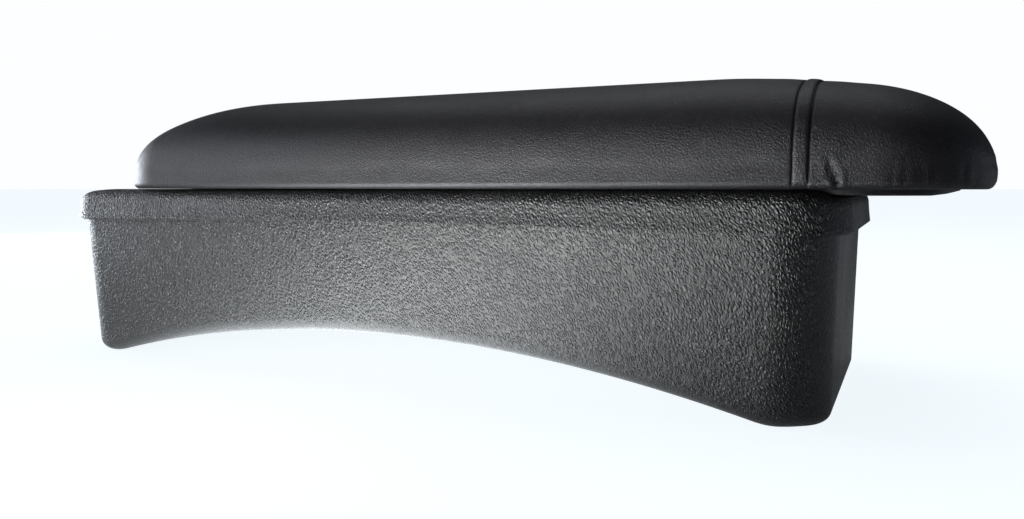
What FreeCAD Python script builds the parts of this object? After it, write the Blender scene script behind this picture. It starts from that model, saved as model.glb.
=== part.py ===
# Car console armrest box: a padded rest that slides on a hinged lid, over an arched storage box.
# Frame: +X is the front, +Y the left side, +Z up. The origin lies on the plane of the feet, midway
# between the four floor screws. All sizes are in millimetres and all angles in degrees.
import FreeCAD, Part
import math
import os

V = FreeCAD.Vector

# ---- Driving sizes: lid frame (the rim that shows all round) ----
rim_length = 306.0
rim_width = 126.0
rim_corner = 20.0
rim_top = 67.5
skirt_bottom = 55.0
skirt_flare = 0.5
lip_flare = 0.9
lip_height = 2.6
skirt_thickness = 1.4
shoulder_radius = 5.0
rear_fall = 2.5
rear_fall_length = 28.0

# ---- Driving sizes: storage box ----
wall_top = 60.5
wall_thickness = 2.5
floor_thickness = 2.8
skirt_overhang = 2.6
rear_draft = 3.8
front_draft = 1.0
side_draft = 1.5
arch_rise = 17.0
foot_length = 19.0
foot_blend = 30.0
bottom_edge_radius = 4.5
mat_thickness = 1.6
mat_gap = 0.6
seal_height = 1.8
seal_inset = 0.2

# ---- Driving sizes: floor screws, the mounting interface ----
mount_hole_radius = 2.4
mount_wall_gap = 9.0
mount_spacing_y = 76.0
mount_head_clearance = 4.6

# ---- Driving sizes: lid tray that hangs inside the mouth ----
tray_floor_top = 59.5
tray_floor_thickness = 2.5
tray_wall = 1.8
tray_corner = 14.0
recess_rear_gap = 1.0
tray_front_gap = 6.9
tray_side_gap = 4.9
ring_clearance = 0.5

# ---- Driving sizes: hinge ----
hinge_back = 5.5
hinge_drop = 3.0
hinge_pin_radius = 2.0
hinge_running_gap = 0.05
bush_thickness = 1.0
knuckle_radius = 4.6
ear_radius = 4.2
knuckle_width = 16.0
centre_ear_width = 27.4
outer_ear_width = 8.0
knuckle_side_gap = 0.3
clip_thickness = 0.8
clip_radius = 3.6
ear_web_height = 12.0
ear_skirt_room = 0.8
knuckle_web_lift = 0.2

# ---- Driving sizes: pad ----
pad_length = 313.3
pad_rear_set_in = 28.0
pad_side_set_in = 0.4
pad_side_bulge = 0.9
pad_corner_rear = 24.0
pad_corner_front = 30.0
pad_side_height = 23.0
pad_crown_height = 35.0
pad_rear_upright = 0.22
pad_rear_turn = (7.0, 0.30)
pad_rear_slope = (26.0, 0.12)
pad_rear_run = 90.0
pad_nose_run = 75.0
pad_nose_slope = (34.0, 0.10)
pad_nose_turn = (12.0, 0.33)
pad_nose_tip = 0.38
pad_nose_tuck = (3.0, 0.10)
pad_nose_set_back = 6.0
crown_edge_share = 0.86
crown_edge_rise = 0.62
crown_flat_share = 0.6
crown_flat_drop = 0.16
pad_gap = 0.6
leather_thickness = 1.2
board_thickness = 8.0
board_edge_gap = 3.4
board_nose_gap = 8.5
board_edge_radius = 1.5
hem_width = 17.0
seam_behind_nose = 48.3
seam_band_width = 4.4
seam_band_proud = 0.7

# ---- Driving sizes: slide ----
plate_thickness = 2.2
plate_side_room = 1.7
plate_corner = 12.0
plate_nose_corner = 30.0
plate_ramp_length = 8.0
plate_ramp_height = 1.7
plate_ramp_mid_share = 0.3
land_gap = 1.0
shoe_screw_bite = 1.6
plate_edge_radius = 0.6
plate_rear_set_in = 27.0
plate_front_set_in = 8.5
slide_back = 26.0
slide_forward = 34.0
rail_wall_room = 9.7
rail_width = 16.0
rail_height = 5.2
rail_sheet = 1.2
rail_slot = 7.0
rail_end_gap = 3.0
shoe_length = 34.0
shoe_end_gap = 3.0
shoe_screw_spread = 0.3
board_screw_spread = 0.38
board_screw_share = 0.7
shoe_clearance = 0.35
shoe_stem_gap = 0.5
stop_x = -20.0
stop_shank_radius = 2.0
stop_sleeve_radius = 3.5
stop_clearance = 0.4
stop_flange_thickness = 1.0
stop_screw_share = 0.7
stop_sleeve_share = 0.6

# ---- Driving sizes: slide detent ----
detent_x = 60.0
detent_plunger_radius = 3.0
detent_running_gap = 0.06
detent_housing_radius = 5.0
detent_housing_wall = 1.4
detent_depth_below_tray = 3.4
disc_count = 6
disc_thickness = 0.3
disc_gap = 0.03
disc_edge_gap = 0.15
disc_bore_radius = 1.2
detent_tip_gap = 0.25
detent_notches = 5
detent_pitch = 13.0
detent_flange_reach = 2.0
detent_flange_thickness = 1.2
notch_ball_share = 1.6
notch_depth_share = 0.35
plunger_dome_share = 1.25

# ---- Driving sizes: liner panel and magnet catch ----
liner_depth = 6.4
liner_thickness = 2.0
liner_side_gap = 4.5
liner_corner = 10.0
liner_gap = 0.1
strike_length = 12.0
strike_width = 22.0
strike_thickness = 0.8
strike_corner = 2.0
magnet_radius = 4.5
magnet_thickness = 3.0
magnet_gap = 0.3
holder_length = 14.0
holder_width = 26.0
holder_height = 11.0
holder_fit = 0.1
holder_edge_radius = 1.5
holder_screw_spread = 0.33
holder_screw_drop = 0.6
holder_screw_share = 0.6

# ---- Driving sizes: fasteners ----
small_shank_radius = 1.3
small_head_radius = 2.5
small_head_height = 1.1
screw_slot_reach = 0.6
screw_slot_half_width = 0.12
screw_slot_depth = 0.6
fastener_fit = 0.04
staple_width = 10.0
staple_wire = 0.6
staple_leg = 6.0
staple_inset = 6.2
staples_per_side = 15
staples_per_end = 4

# ---- Values worked out from the driving sizes ----
rim_half_length = rim_length / 2
rim_half_width = rim_width / 2
box_half_length = rim_half_length - skirt_overhang
box_half_width = rim_half_width - skirt_overhang
box_corner = rim_corner - skirt_overhang
ring_ceiling = wall_top + seal_height + ring_clearance
tray_bottom = tray_floor_top - tray_floor_thickness
tray_front = box_half_length - tray_front_gap
tray_half_width = box_half_width - tray_side_gap
hinge_x = -rim_half_length - hinge_back
hinge_z = skirt_bottom - hinge_drop
pad_bottom = rim_top + pad_gap
pad_rear = -rim_half_length + pad_rear_set_in
pad_front = pad_rear + pad_length
plate_bottom = pad_bottom - plate_thickness
plate_rear = pad_rear + plate_rear_set_in
plate_front = pad_front - plate_front_set_in
tray_rear = plate_rear - slide_back - recess_rear_gap - tray_wall
board_bottom = pad_bottom + leather_thickness
board_top = board_bottom + board_thickness
seam_x = pad_front - seam_behind_nose
liner_rear = tray_rear + liner_side_gap
liner_front = tray_front - liner_side_gap
liner_half_width = tray_half_width - liner_side_gap
liner_bottom = tray_bottom - liner_gap - liner_depth
rail_top = tray_floor_top + rail_height
recess_half_width = tray_half_width - tray_wall
plate_half_width = recess_half_width - plate_side_room
rail_offset = recess_half_width - rail_wall_room - rail_width / 2
pad_half_width = rim_half_width - pad_side_set_in
housing_bottom = tray_bottom - detent_depth_below_tray
housing_floor = housing_bottom + detent_housing_wall
foot_inner = box_half_length - foot_length
big = 400.0
tall = 120.0


# ---- Shape helpers ----
def rounded_wire(x0, x1, half_width, radius, z):
    """Closed rounded rectangle at height z, symmetric about the X axis."""
    y = half_width
    r = radius
    k = r * (1 - math.sqrt(0.5))
    lines = [
        (V(x0 + r, -y, z), V(x1 - r, -y, z)),
        (V(x1, -y + r, z), V(x1, y - r, z)),
        (V(x1 - r, y, z), V(x0 + r, y, z)),
        (V(x0, y - r, z), V(x0, -y + r, z)),
    ]
    corners = [V(x1 - k, -y + k, z), V(x1 - k, y - k, z), V(x0 + k, y - k, z), V(x0 + k, -y + k, z)]
    edges = []
    for index, (start, end) in enumerate(lines):
        following = lines[(index + 1) % len(lines)][0]
        edges.append(Part.LineSegment(start, end).toShape())
        edges.append(Part.Arc(end, corners[index], following).toShape())
    return Part.Wire(edges)


def rounded_block(x0, x1, half_width, radius, z0, z1):
    """Upright block with a rounded rectangle as its plan."""
    face = Part.Face(rounded_wire(x0, x1, half_width, radius, z0))
    return face.extrude(V(0, 0, z1 - z0))


def lofted_block(low, high):
    """Solid between two rounded rectangles, each given as (x0, x1, half_width, radius, z)."""
    return Part.makeLoft([rounded_wire(*low), rounded_wire(*high)], True, True)


def block(x0, x1, y0, y1, z0, z1):
    """Plain rectangular block."""
    return Part.makeBox(x1 - x0, y1 - y0, z1 - z0, V(x0, y0, z0))


def upright(x, y, radius, z0, z1):
    """Cylinder along Z."""
    return Part.makeCylinder(radius, z1 - z0, V(x, y, z0))


def across(x, z, radius, y0, y1):
    """Cylinder along Y."""
    return Part.makeCylinder(radius, y1 - y0, V(x, y0, z), V(0, 1, 0))


def side_prism(edges, half_width):
    """Solid from a closed side outline in the XZ plane, carried to both sides of the middle."""
    face = Part.Face(Part.Wire(edges))
    face.translate(V(0, -half_width, 0))
    return face.extrude(V(0, 2 * half_width, 0))


def polygon_prism(points, y0, y1):
    """Solid from a side outline of (x, z) corners between y0 and y1."""
    corners = [V(x, y0, z) for x, z in points]
    face = Part.Face(Part.makePolygon(corners + corners[:1]))
    return face.extrude(V(0, y1 - y0, 0))


def screw(x, y, top, length, down=True):
    """Flush screw with a cross recess. Its head's outer face is at height top."""
    way = -1 if down else 1
    direction = V(0, 0, way)
    head = Part.makeCylinder(small_head_radius, small_head_height, V(x, y, top), direction)
    shank = Part.makeCylinder(small_shank_radius, length, V(x, y, top), direction)
    body = head.fuse(shank)
    slot = small_head_radius * screw_slot_reach
    half_slot = small_head_radius * screw_slot_half_width
    depth = small_head_height * screw_slot_depth
    low = min(top, top + way * depth)
    body = body.cut(block(x - slot, x + slot, y - half_slot, y + half_slot, low, low + depth))
    return body.cut(block(x - half_slot, x + half_slot, y - slot, y + slot, low, low + depth))


def screw_hole(x, y, top, length, down=True):
    """Cut for a flush screw, open above its head."""
    way = -1 if down else 1
    direction = V(0, 0, way)
    head = Part.makeCylinder(small_head_radius + fastener_fit, small_head_height + fastener_fit + 1,
                             V(x, y, top - way), direction)
    shank = Part.makeCylinder(small_shank_radius + fastener_fit, length + fastener_fit, V(x, y, top), direction)
    return head.fuse(shank)


def group(shapes):
    """Several separate solids in one node."""
    return Part.makeCompound(shapes)


# ---- Storage box ----
def box_section(z, inset):
    """Rounded rectangle of the box at height z, moved in by a wall thickness."""
    drop = wall_top - z
    rear = -box_half_length + drop * math.tan(math.radians(rear_draft)) + inset
    front = box_half_length - drop * math.tan(math.radians(front_draft)) - inset
    half_width = box_half_width - drop * math.tan(math.radians(side_draft)) - inset
    return rear, front, half_width, box_corner - inset, z


def arch_tool(lift):
    """Everything below the floor line: flat feet, short blends and one long arch, raised by lift."""
    rise = arch_rise
    radius = (foot_inner ** 2 + rise ** 2) / (2 * rise)
    centre_z = rise - radius
    blend_z = foot_blend
    total = radius + foot_blend
    blend_x = math.sqrt(total ** 2 - (blend_z - centre_z) ** 2)
    joint_x = blend_x * radius / total
    joint_z = centre_z + (blend_z - centre_z) * radius / total
    half_turn = 0.5 * math.atan2(blend_x - joint_x, blend_z - joint_z)
    middle_x = blend_x - foot_blend * math.sin(half_turn)
    middle_z = blend_z - foot_blend * math.cos(half_turn)
    low = -tall
    edges = [
        Part.LineSegment(V(-big, 0, lift), V(-blend_x, 0, lift)).toShape(),
        Part.Arc(V(-blend_x, 0, lift), V(-middle_x, 0, middle_z + lift), V(-joint_x, 0, joint_z + lift)).toShape(),
        Part.Arc(V(-joint_x, 0, joint_z + lift), V(0, 0, rise + lift), V(joint_x, 0, joint_z + lift)).toShape(),
        Part.Arc(V(joint_x, 0, joint_z + lift), V(middle_x, 0, middle_z + lift), V(blend_x, 0, lift)).toShape(),
        Part.LineSegment(V(blend_x, 0, lift), V(big, 0, lift)).toShape(),
        Part.LineSegment(V(big, 0, lift), V(big, 0, low)).toShape(),
        Part.LineSegment(V(big, 0, low), V(-big, 0, low)).toShape(),
        Part.LineSegment(V(-big, 0, low), V(-big, 0, lift)).toShape(),
    ]
    return side_prism(edges, big)


def floor_outline_edges(shape, tool):
    """Edges where the underside of the box meets its walls."""
    chosen = []
    limit = foot_inner + foot_blend
    for edge in shape.Edges:
        middle = edge.valueAt(0.5 * (edge.FirstParameter + edge.LastParameter))
        crosses = edge.BoundBox.XLength < 0.01 and abs(middle.x) < limit * 0.98 and abs(middle.y) < 1
        on_floor = tool.distToShape(Part.Vertex(middle))[0] < 0.001 and middle.z < arch_rise + 1
        if on_floor and not crosses:
            chosen.append(edge)
    return chosen


def outer_box():
    """Outside of the box: drafted walls, arched underside and a rounded lower edge."""
    body = lofted_block(box_section(-1, 0), box_section(wall_top, 0))
    tool = arch_tool(0)
    body = body.cut(tool)
    return body.makeFillet(bottom_edge_radius, floor_outline_edges(body, tool))


def inner_box(inset, lift, top):
    """Space inside the box, moved in by inset and raised by lift above the underside."""
    body = lofted_block(box_section(-1, inset), box_section(top, inset))
    return body.cut(arch_tool(lift))


def mount_points():
    """Centres of the floor screws."""
    x = box_half_length - wall_thickness - mount_wall_gap
    y = mount_spacing_y / 2
    return [(sx * x, sy * y) for sx in (-1, 1) for sy in (-1, 1)]


def ear_spans():
    """Y spans of the box's hinge ears."""
    inner = centre_ear_width / 2
    outer = inner + 2 * knuckle_side_gap + knuckle_width
    return [(-outer - outer_ear_width, -outer), (-inner, inner), (outer, outer + outer_ear_width)]


def knuckle_spans():
    """Y spans of the lid's hinge knuckles."""
    start = centre_ear_width / 2 + knuckle_side_gap
    return [(-start - knuckle_width, -start), (start, start + knuckle_width)]


def hinge_ears():
    """Ears on the rear wall of the box, with their bores cut later."""
    wall_x = -box_half_length + wall_thickness * 0.7
    shapes = []
    for y0, y1 in ear_spans():
        web = polygon_prism([
            (hinge_x + ear_radius * 0.8, hinge_z + ear_radius * 0.5),
            (wall_x, min(skirt_bottom - ear_skirt_room, hinge_z + ear_radius * 0.5)),
            (wall_x, hinge_z - ear_web_height),
            (hinge_x - ear_radius * 0.7, hinge_z - ear_radius * 0.7),
        ], y0, y1)
        shapes.append(across(hinge_x, hinge_z, ear_radius, y0, y1).fuse(web))
    return shapes


def make_storage_box():
    """Moulded tub with arched floor, hinge ears and four floor holes."""
    body = outer_box().cut(inner_box(wall_thickness, floor_thickness, wall_top + 1))
    cavity = inner_box(wall_thickness, floor_thickness, wall_top + 1)
    for ear in hinge_ears():
        body = body.fuse(ear.cut(cavity))
    pin_length = ear_spans()[-1][1]
    body = body.cut(across(hinge_x, hinge_z, hinge_pin_radius, -pin_length - 1, pin_length + 1))
    for x, y in mount_points():
        body = body.cut(upright(x, y, mount_hole_radius, -1, floor_thickness + 1))
    for y in holder_screw_places():
        body = body.cut(holder_screw_cut(y))
    return body.removeSplitter()


def make_mouth_seal():
    """Rubber bead that runs round the top of the wall."""
    z0 = wall_top
    z1 = wall_top + seal_height
    outer = box_half_length - seal_inset
    inner = box_half_length - wall_thickness + seal_inset
    side = box_half_width - seal_inset
    inner_side = box_half_width - wall_thickness + seal_inset
    ring = rounded_block(-outer, outer, side, box_corner - seal_inset, z0, z1)
    hole = rounded_block(-inner, inner, inner_side, box_corner - wall_thickness + seal_inset, z0 - 1, z1 + 1)
    return ring.cut(hole)


def make_floor_mat():
    """Rubber mat on the arched floor, with clearance round the floor screws."""
    inset = wall_thickness + mat_gap
    layer = inner_box(inset, floor_thickness, wall_top)
    above = inner_box(inset - 1, floor_thickness + mat_thickness, wall_top + 1)
    mat = layer.cut(above)
    for x, y in mount_points():
        mat = mat.cut(upright(x, y, mount_head_clearance, -1, floor_thickness + mat_thickness + 1))
    return mat


# ---- Hinge pin and its fittings ----
def make_hinge_pin():
    """Steel pin through ears and knuckles."""
    end = ear_spans()[-1][1] + 2 * clip_thickness
    pin = across(hinge_x, hinge_z, hinge_pin_radius, -end, end)
    return pin.makeChamfer(hinge_pin_radius * 0.2, [e for e in pin.Edges if e.Curve.TypeId == "Part::GeomCircle"])


def make_pin_clips():
    """A push-on clip at each end of the pin."""
    start = ear_spans()[-1][1]
    shapes = []
    for y0 in (-start - clip_thickness, start):
        ring = across(hinge_x, hinge_z, clip_radius, y0, y0 + clip_thickness)
        shapes.append(ring.cut(across(hinge_x, hinge_z, hinge_pin_radius, y0 - 1, y0 + clip_thickness + 1)))
    return group(shapes)


def make_knuckle_bushes():
    """Plastic bushes pressed into the lid's knuckles."""
    shapes = []
    bore = hinge_pin_radius + hinge_running_gap
    for y0, y1 in knuckle_spans():
        sleeve = across(hinge_x, hinge_z, hinge_pin_radius + bush_thickness, y0, y1)
        shapes.append(sleeve.cut(across(hinge_x, hinge_z, bore, y0 - 1, y1 + 1)))
    return group(shapes)


# ---- Lid frame ----
def rear_fall_tool():
    """Air above the rear of the lid frame, which falls away in a long tangent arc."""
    start = -rim_half_length + rear_fall_length
    reach = rear_fall_length + rim_corner
    radius = rear_fall_length ** 2 / (2 * rear_fall)
    end_x = start - reach
    end_z = rim_top - radius + math.sqrt(radius ** 2 - reach ** 2)
    middle_x = start - reach / 2
    middle_z = rim_top - radius + math.sqrt(radius ** 2 - (reach / 2) ** 2)
    high = rim_top + 10
    edges = [
        Part.Arc(V(start, 0, rim_top), V(middle_x, 0, middle_z), V(end_x, 0, end_z)).toShape(),
        Part.LineSegment(V(end_x, 0, end_z), V(end_x, 0, high)).toShape(),
        Part.LineSegment(V(end_x, 0, high), V(start, 0, high)).toShape(),
        Part.LineSegment(V(start, 0, high), V(start, 0, rim_top)).toShape(),
    ]
    return side_prism(edges, big)


def outer_rim():
    """Outside of the lid frame: flared skirt, rounded shoulder and a rear that falls away."""
    half = rim_half_length
    side = rim_half_width
    lip = (-half, half, side, rim_corner, skirt_bottom)
    waist = (-half + lip_flare, half - lip_flare, side - lip_flare, rim_corner - lip_flare,
             skirt_bottom + lip_height)
    inset = lip_flare + skirt_flare
    high = (-half + inset, half - inset, side - inset, rim_corner - inset, rim_top)
    body = lofted_block(lip, waist).fuse(lofted_block(waist, high)).removeSplitter().cut(rear_fall_tool())
    rounded = []
    for edge in body.Edges:
        middle = edge.valueAt(0.5 * (edge.FirstParameter + edge.LastParameter))
        straight_across = edge.BoundBox.XLength < 0.01 and abs(middle.x) < half - rim_corner
        if edge.BoundBox.ZMin > rim_top - 2 * rear_fall and not straight_across:
            rounded.append(edge)
    return body.makeFillet(shoulder_radius, rounded)


def lid_knuckles():
    """Knuckles that hang from the rear skirt round the pin."""
    face_x = -rim_half_length + lip_flare + skirt_flare
    reach = knuckle_radius * 0.7
    shapes = []
    for y0, y1 in knuckle_spans():
        web = polygon_prism([
            (hinge_x - reach, hinge_z + reach),
            (face_x, skirt_bottom + 2 * hinge_drop),
            (face_x, skirt_bottom + knuckle_web_lift),
            (hinge_x + knuckle_radius * 0.93, hinge_z - knuckle_radius * 0.35),
        ], y0, y1)
        shapes.append(across(hinge_x, hinge_z, knuckle_radius, y0, y1).fuse(web))
    return shapes


def rail_screw_places():
    """Centres of the rail screws."""
    reach = 0.4 * (tray_front - tray_rear)
    middle = (tray_front + tray_rear) / 2
    return [(middle + fx * reach, sy * rail_offset) for fx in (-1, -1 / 3, 1 / 3, 1) for sy in (-1, 1)]


def liner_screw_places():
    """Centres of the liner panel's screws."""
    reach = 0.46 * (liner_front - liner_rear)
    middle = (liner_front + liner_rear) / 2
    side = liner_half_width - 2 * small_head_radius - liner_thickness
    return [(middle + fx * reach, sy * side) for fx in (-1, 0, 1) for sy in (-1, 1)]


def liner_screw_length():
    """Liner screws reach through their posts into the tray floor."""
    return liner_depth + liner_gap + tray_floor_thickness * 0.6


def rail_screw_length():
    """Rail screws reach from the rail's floor to just inside the tray floor's underside."""
    return rail_sheet + tray_floor_thickness * 0.8


def make_lid_frame():
    """Moulded frame: skirt and shoulder outside, a shallow tray inside, open at the front for the plate."""
    half = rim_half_length - skirt_thickness
    side = rim_half_width - skirt_thickness
    corner = rim_corner - skirt_thickness
    inner_flare = (skirt_flare + lip_flare) * 0.25
    hollow = lofted_block(
        (-half, half, side, corner, skirt_bottom - 1),
        (-half + inner_flare, half - inner_flare, side - inner_flare, corner - inner_flare, ring_ceiling))
    tray = rounded_block(tray_rear, tray_front, tray_half_width, tray_corner, tray_bottom, ring_ceiling + 1)
    body = outer_rim().cut(hollow.cut(tray))
    for knuckle in lid_knuckles():
        body = body.fuse(knuckle)
    body = body.cut(outside_below_skirt())
    recess = rounded_block(tray_rear + tray_wall, tray_front - tray_wall, recess_half_width,
                           tray_corner - tray_wall, tray_floor_top, rim_top + 1)
    notch = block(tray_front - tray_corner, rim_half_length + 1, -recess_half_width, recess_half_width,
                  plate_bottom - pad_gap * 0.7, rim_top + 1)
    body = body.cut(recess).cut(notch)
    for y0, y1 in knuckle_spans():
        body = body.cut(across(hinge_x, hinge_z, hinge_pin_radius + bush_thickness, y0 - 1, y1 + 1))
    for x, y in rail_screw_places():
        body = body.cut(screw_hole(x, y, tray_floor_top + rail_sheet, rail_screw_length()))
    for x, y in liner_screw_places():
        body = body.cut(screw_hole(x, y, liner_bottom, liner_screw_length(), down=False))
    body = body.cut(upright(stop_x, 0, stop_shank_radius + fastener_fit, tray_bottom - 1, tray_floor_top + 1))
    body = body.cut(upright(detent_x, 0, detent_housing_radius + fastener_fit, tray_bottom - 1, tray_floor_top + 1))
    return body.removeSplitter()


def outside_below_skirt():
    """Room for the box's wall that no knuckle may fill."""
    gap = skirt_overhang - skirt_thickness
    return rounded_block(-box_half_length - gap, 0, rim_half_width - skirt_thickness, box_corner, 0, skirt_bottom)


def make_lid_liner():
    """Shallow panel that closes the underside of the lid tray and hides the screws."""
    top = tray_bottom - liner_gap
    body = rounded_block(liner_rear, liner_front, liner_half_width, liner_corner, liner_bottom, top)
    low_edges = [e for e in body.Edges if e.BoundBox.ZMax < liner_bottom + 0.01]
    body = body.makeFillet(liner_thickness * 0.75, low_edges)
    t = liner_thickness
    hollow = rounded_block(liner_rear + t, liner_front - t, liner_half_width - t, liner_corner - t,
                           liner_bottom + t, top + 1)
    body = body.cut(hollow)
    for x, y in liner_screw_places():
        post = upright(x, y, small_head_radius + t, liner_bottom + t / 2, top)
        body = body.fuse(post)
    for x, y in liner_screw_places():
        body = body.cut(screw_hole(x, y, liner_bottom, liner_screw_length(), down=False))
    return body


def make_liner_screws():
    """Screws that hold the liner panel, seen from below when the lid is open."""
    places = liner_screw_places()
    return group([screw(x, y, liner_bottom, liner_screw_length(), down=False) for x, y in places])


# ---- Magnet catch ----
def strike_centre():
    """Middle of the magnet and its strike plate, near the front of the liner panel."""
    return liner_front - liner_corner


def make_strike_plate():
    """Steel plate under the liner that the magnet pulls on."""
    x = strike_centre()
    half = strike_length / 2
    z1 = liner_bottom
    return rounded_block(x - half, x + half, strike_width / 2, strike_corner, z1 - strike_thickness, z1)


def holder_top():
    """Height of the magnet's face."""
    return liner_bottom - strike_thickness - magnet_gap


def holder_screw_places():
    """Y of the two screws that hold the magnet holder to the front wall."""
    return [-holder_width * holder_screw_spread, holder_width * holder_screw_spread]


def holder_span():
    """Rear and front of the magnet holder."""
    rear = strike_centre() - holder_length / 2
    return rear, box_half_length


def holder_screw_height():
    """Height of the holder's screws."""
    return holder_top() - holder_height * holder_screw_drop


def holder_screw_cut(y):
    """Cut for a holder screw, along X."""
    rear = holder_span()[0]
    z = holder_screw_height()
    head = Part.makeCylinder(small_head_radius + fastener_fit, small_head_height + fastener_fit + 1,
                             V(rear - 1, y, z), V(1, 0, 0))
    length = box_half_length - wall_thickness * holder_screw_share - rear
    return head.fuse(Part.makeCylinder(small_shank_radius + fastener_fit, length, V(rear, y, z), V(1, 0, 0)))


def make_magnet_holder():
    """Plastic block on the front wall that carries the magnet."""
    rear, front = holder_span()
    top = holder_top()
    body = block(rear, front, -holder_width / 2, holder_width / 2, top - holder_height, top)
    body = body.makeFillet(holder_edge_radius, [e for e in body.Edges if abs(e.BoundBox.XMax - rear) < 0.01])
    body = body.common(inner_box(wall_thickness + holder_fit, floor_thickness, wall_top))
    body = body.cut(upright(strike_centre(), 0, magnet_radius + fastener_fit, top - magnet_thickness, top + 1))
    for y in holder_screw_places():
        body = body.cut(holder_screw_cut(y))
    return body


def make_catch_magnet():
    """Disc magnet, flush with its holder."""
    top = holder_top()
    return upright(strike_centre(), 0, magnet_radius, top - magnet_thickness + fastener_fit, top)


def make_holder_screws():
    """Two screws through the holder into the front wall."""
    rear = holder_span()[0]
    z = holder_screw_height()
    length = box_half_length - wall_thickness * holder_screw_share - rear - fastener_fit
    shapes = []
    for y in holder_screw_places():
        head = Part.makeCylinder(small_head_radius, small_head_height, V(rear, y, z), V(1, 0, 0))
        shapes.append(head.fuse(Part.makeCylinder(small_shank_radius, length, V(rear, y, z), V(1, 0, 0))))
    return group(shapes)


# ---- Slide rails and stop ----
def make_slide_rail(side):
    """Folded steel channel with inward lips, on the tray floor."""
    x1 = tray_front - tray_wall - rail_end_gap
    x0 = tray_rear + tray_wall + rail_end_gap
    y = side * rail_offset
    half = rail_width / 2
    body = block(x0, x1, y - half, y + half, tray_floor_top, rail_top)
    inner = half - rail_sheet
    body = body.cut(block(x0 - 1, x1 + 1, y - inner, y + inner, tray_floor_top + rail_sheet, rail_top - rail_sheet))
    slot = rail_slot / 2
    body = body.cut(block(x0 - 1, x1 + 1, y - slot, y + slot, rail_top - rail_sheet - 1, rail_top + 1))
    for sx, sy in rail_screw_places():
        if sy * side > 0:
            body = body.cut(screw_hole(sx, sy, tray_floor_top + rail_sheet, rail_screw_length()))
    return body


def make_rail_screws():
    """Flush screws in the floors of both rails."""
    top = tray_floor_top + rail_sheet
    return group([screw(x, y, top, rail_screw_length()) for x, y in rail_screw_places()])


def make_stop_screw():
    """Shoulder screw that stands up from the tray floor into the plate's slot."""
    top = plate_bottom + plate_thickness * stop_screw_share
    shank = upright(stop_x, 0, stop_shank_radius, tray_bottom, top)
    flange = upright(stop_x, 0, 2 * stop_shank_radius, tray_floor_top, tray_floor_top + stop_flange_thickness)
    return shank.fuse(flange)


def make_stop_sleeve():
    """Rubber sleeve that softens the slide's end stops."""
    top = plate_bottom + plate_thickness * stop_sleeve_share
    low = tray_floor_top + stop_flange_thickness
    sleeve = upright(stop_x, 0, stop_sleeve_radius, low, top)
    return sleeve.cut(upright(stop_x, 0, stop_shank_radius, low - 1, top + 1))


def stop_slot(z0, z1):
    """Slot in the plate whose length sets the slide's travel."""
    radius = stop_sleeve_radius + stop_clearance
    rear = stop_x - slide_forward
    front = stop_x + slide_back
    return rounded_block(rear - radius, front + radius, radius, radius * 0.999, z0, z1)


# ---- Slide detent ----
def plunger_tip():
    """Height of the plunger's tip at rest, just under the plate."""
    return plate_bottom - detent_tip_gap


def housing_top():
    """The housing ends a little below the plate."""
    return rail_top


def plunger_collar_bottom():
    """Underside of the plunger, where its spring pushes."""
    return tray_floor_top


def make_detent_housing():
    """Cup that guides the sprung plunger."""
    body = upright(detent_x, 0, detent_housing_radius, housing_bottom, housing_top())
    flange = upright(detent_x, 0, detent_housing_radius + detent_flange_reach, tray_floor_top,
                     tray_floor_top + detent_flange_thickness)
    body = body.fuse(flange)
    bore = upright(detent_x, 0, detent_plunger_radius + detent_running_gap, housing_floor, housing_top() + 1)
    return body.cut(bore)


def make_detent_plunger():
    """Round-nosed plunger that drops into the notches under the plate."""
    radius = detent_plunger_radius
    tip = plunger_tip()
    shaft = upright(detent_x, 0, radius, plunger_collar_bottom(), tip)
    dome = Part.makeSphere(radius * plunger_dome_share, V(detent_x, 0, tip - radius * plunger_dome_share))
    lower = upright(detent_x, 0, radius, plunger_collar_bottom(), tip - radius * 0.6)
    return lower.fuse(shaft.common(dome)).removeSplitter()


def make_detent_spring():
    """Stack of disc springs between the housing's floor and the plunger, facing up and down in turn."""
    low = housing_floor + disc_gap
    pitch = (plunger_collar_bottom() - low) / disc_count
    outer = detent_plunger_radius - disc_edge_gap
    rise = pitch - disc_thickness - disc_gap
    shapes = []
    for index in range(disc_count):
        z = low + index * pitch
        inner_z, outer_z = (z + rise, z) if index % 2 == 0 else (z, z + rise)
        corners = [
            V(detent_x + disc_bore_radius, 0, inner_z),
            V(detent_x + outer, 0, outer_z),
            V(detent_x + outer, 0, outer_z + disc_thickness),
            V(detent_x + disc_bore_radius, 0, inner_z + disc_thickness),
        ]
        profile = Part.Face(Part.makePolygon(corners + corners[:1]))
        shapes.append(profile.revolve(V(detent_x, 0, 0), V(0, 0, 1), 360))
    return group(shapes)


def notch_places():
    """X of the detent notches, the first met with the pad fully back and the third at rest."""
    return [detent_x + slide_back - detent_pitch * index for index in range(detent_notches)]


# ---- Pad base plate and shoes ----
def board_screw_places():
    """Centres of the screws that hold the base plate to the board."""
    reach = (plate_front - plate_rear) / 2 - 2 * plate_corner
    middle = (plate_front + plate_rear) / 2
    side = plate_half_width * board_screw_spread
    return [(middle + fx * reach, sy * side) for fx in (-1, 0, 1) for sy in (-1, 1)]


def shoe_centres():
    """X of the middle of each shoe: one near the plate's rear, one that stays in the rail when slid out."""
    rail_front = tray_front - tray_wall - rail_end_gap
    return [plate_rear + shoe_end_gap + shoe_length / 2, rail_front - slide_forward - shoe_length / 2]


def shoe_screw_places(side):
    """Each shoe is held by two screws."""
    spread = shoe_length * shoe_screw_spread
    return [(x + fx * spread, side * rail_offset) for x in shoe_centres() for fx in (-1, 1)]


def shoe_top_screw():
    """Shoe screws are driven from above, flush with the raised middle of the plate."""
    return board_bottom


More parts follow.
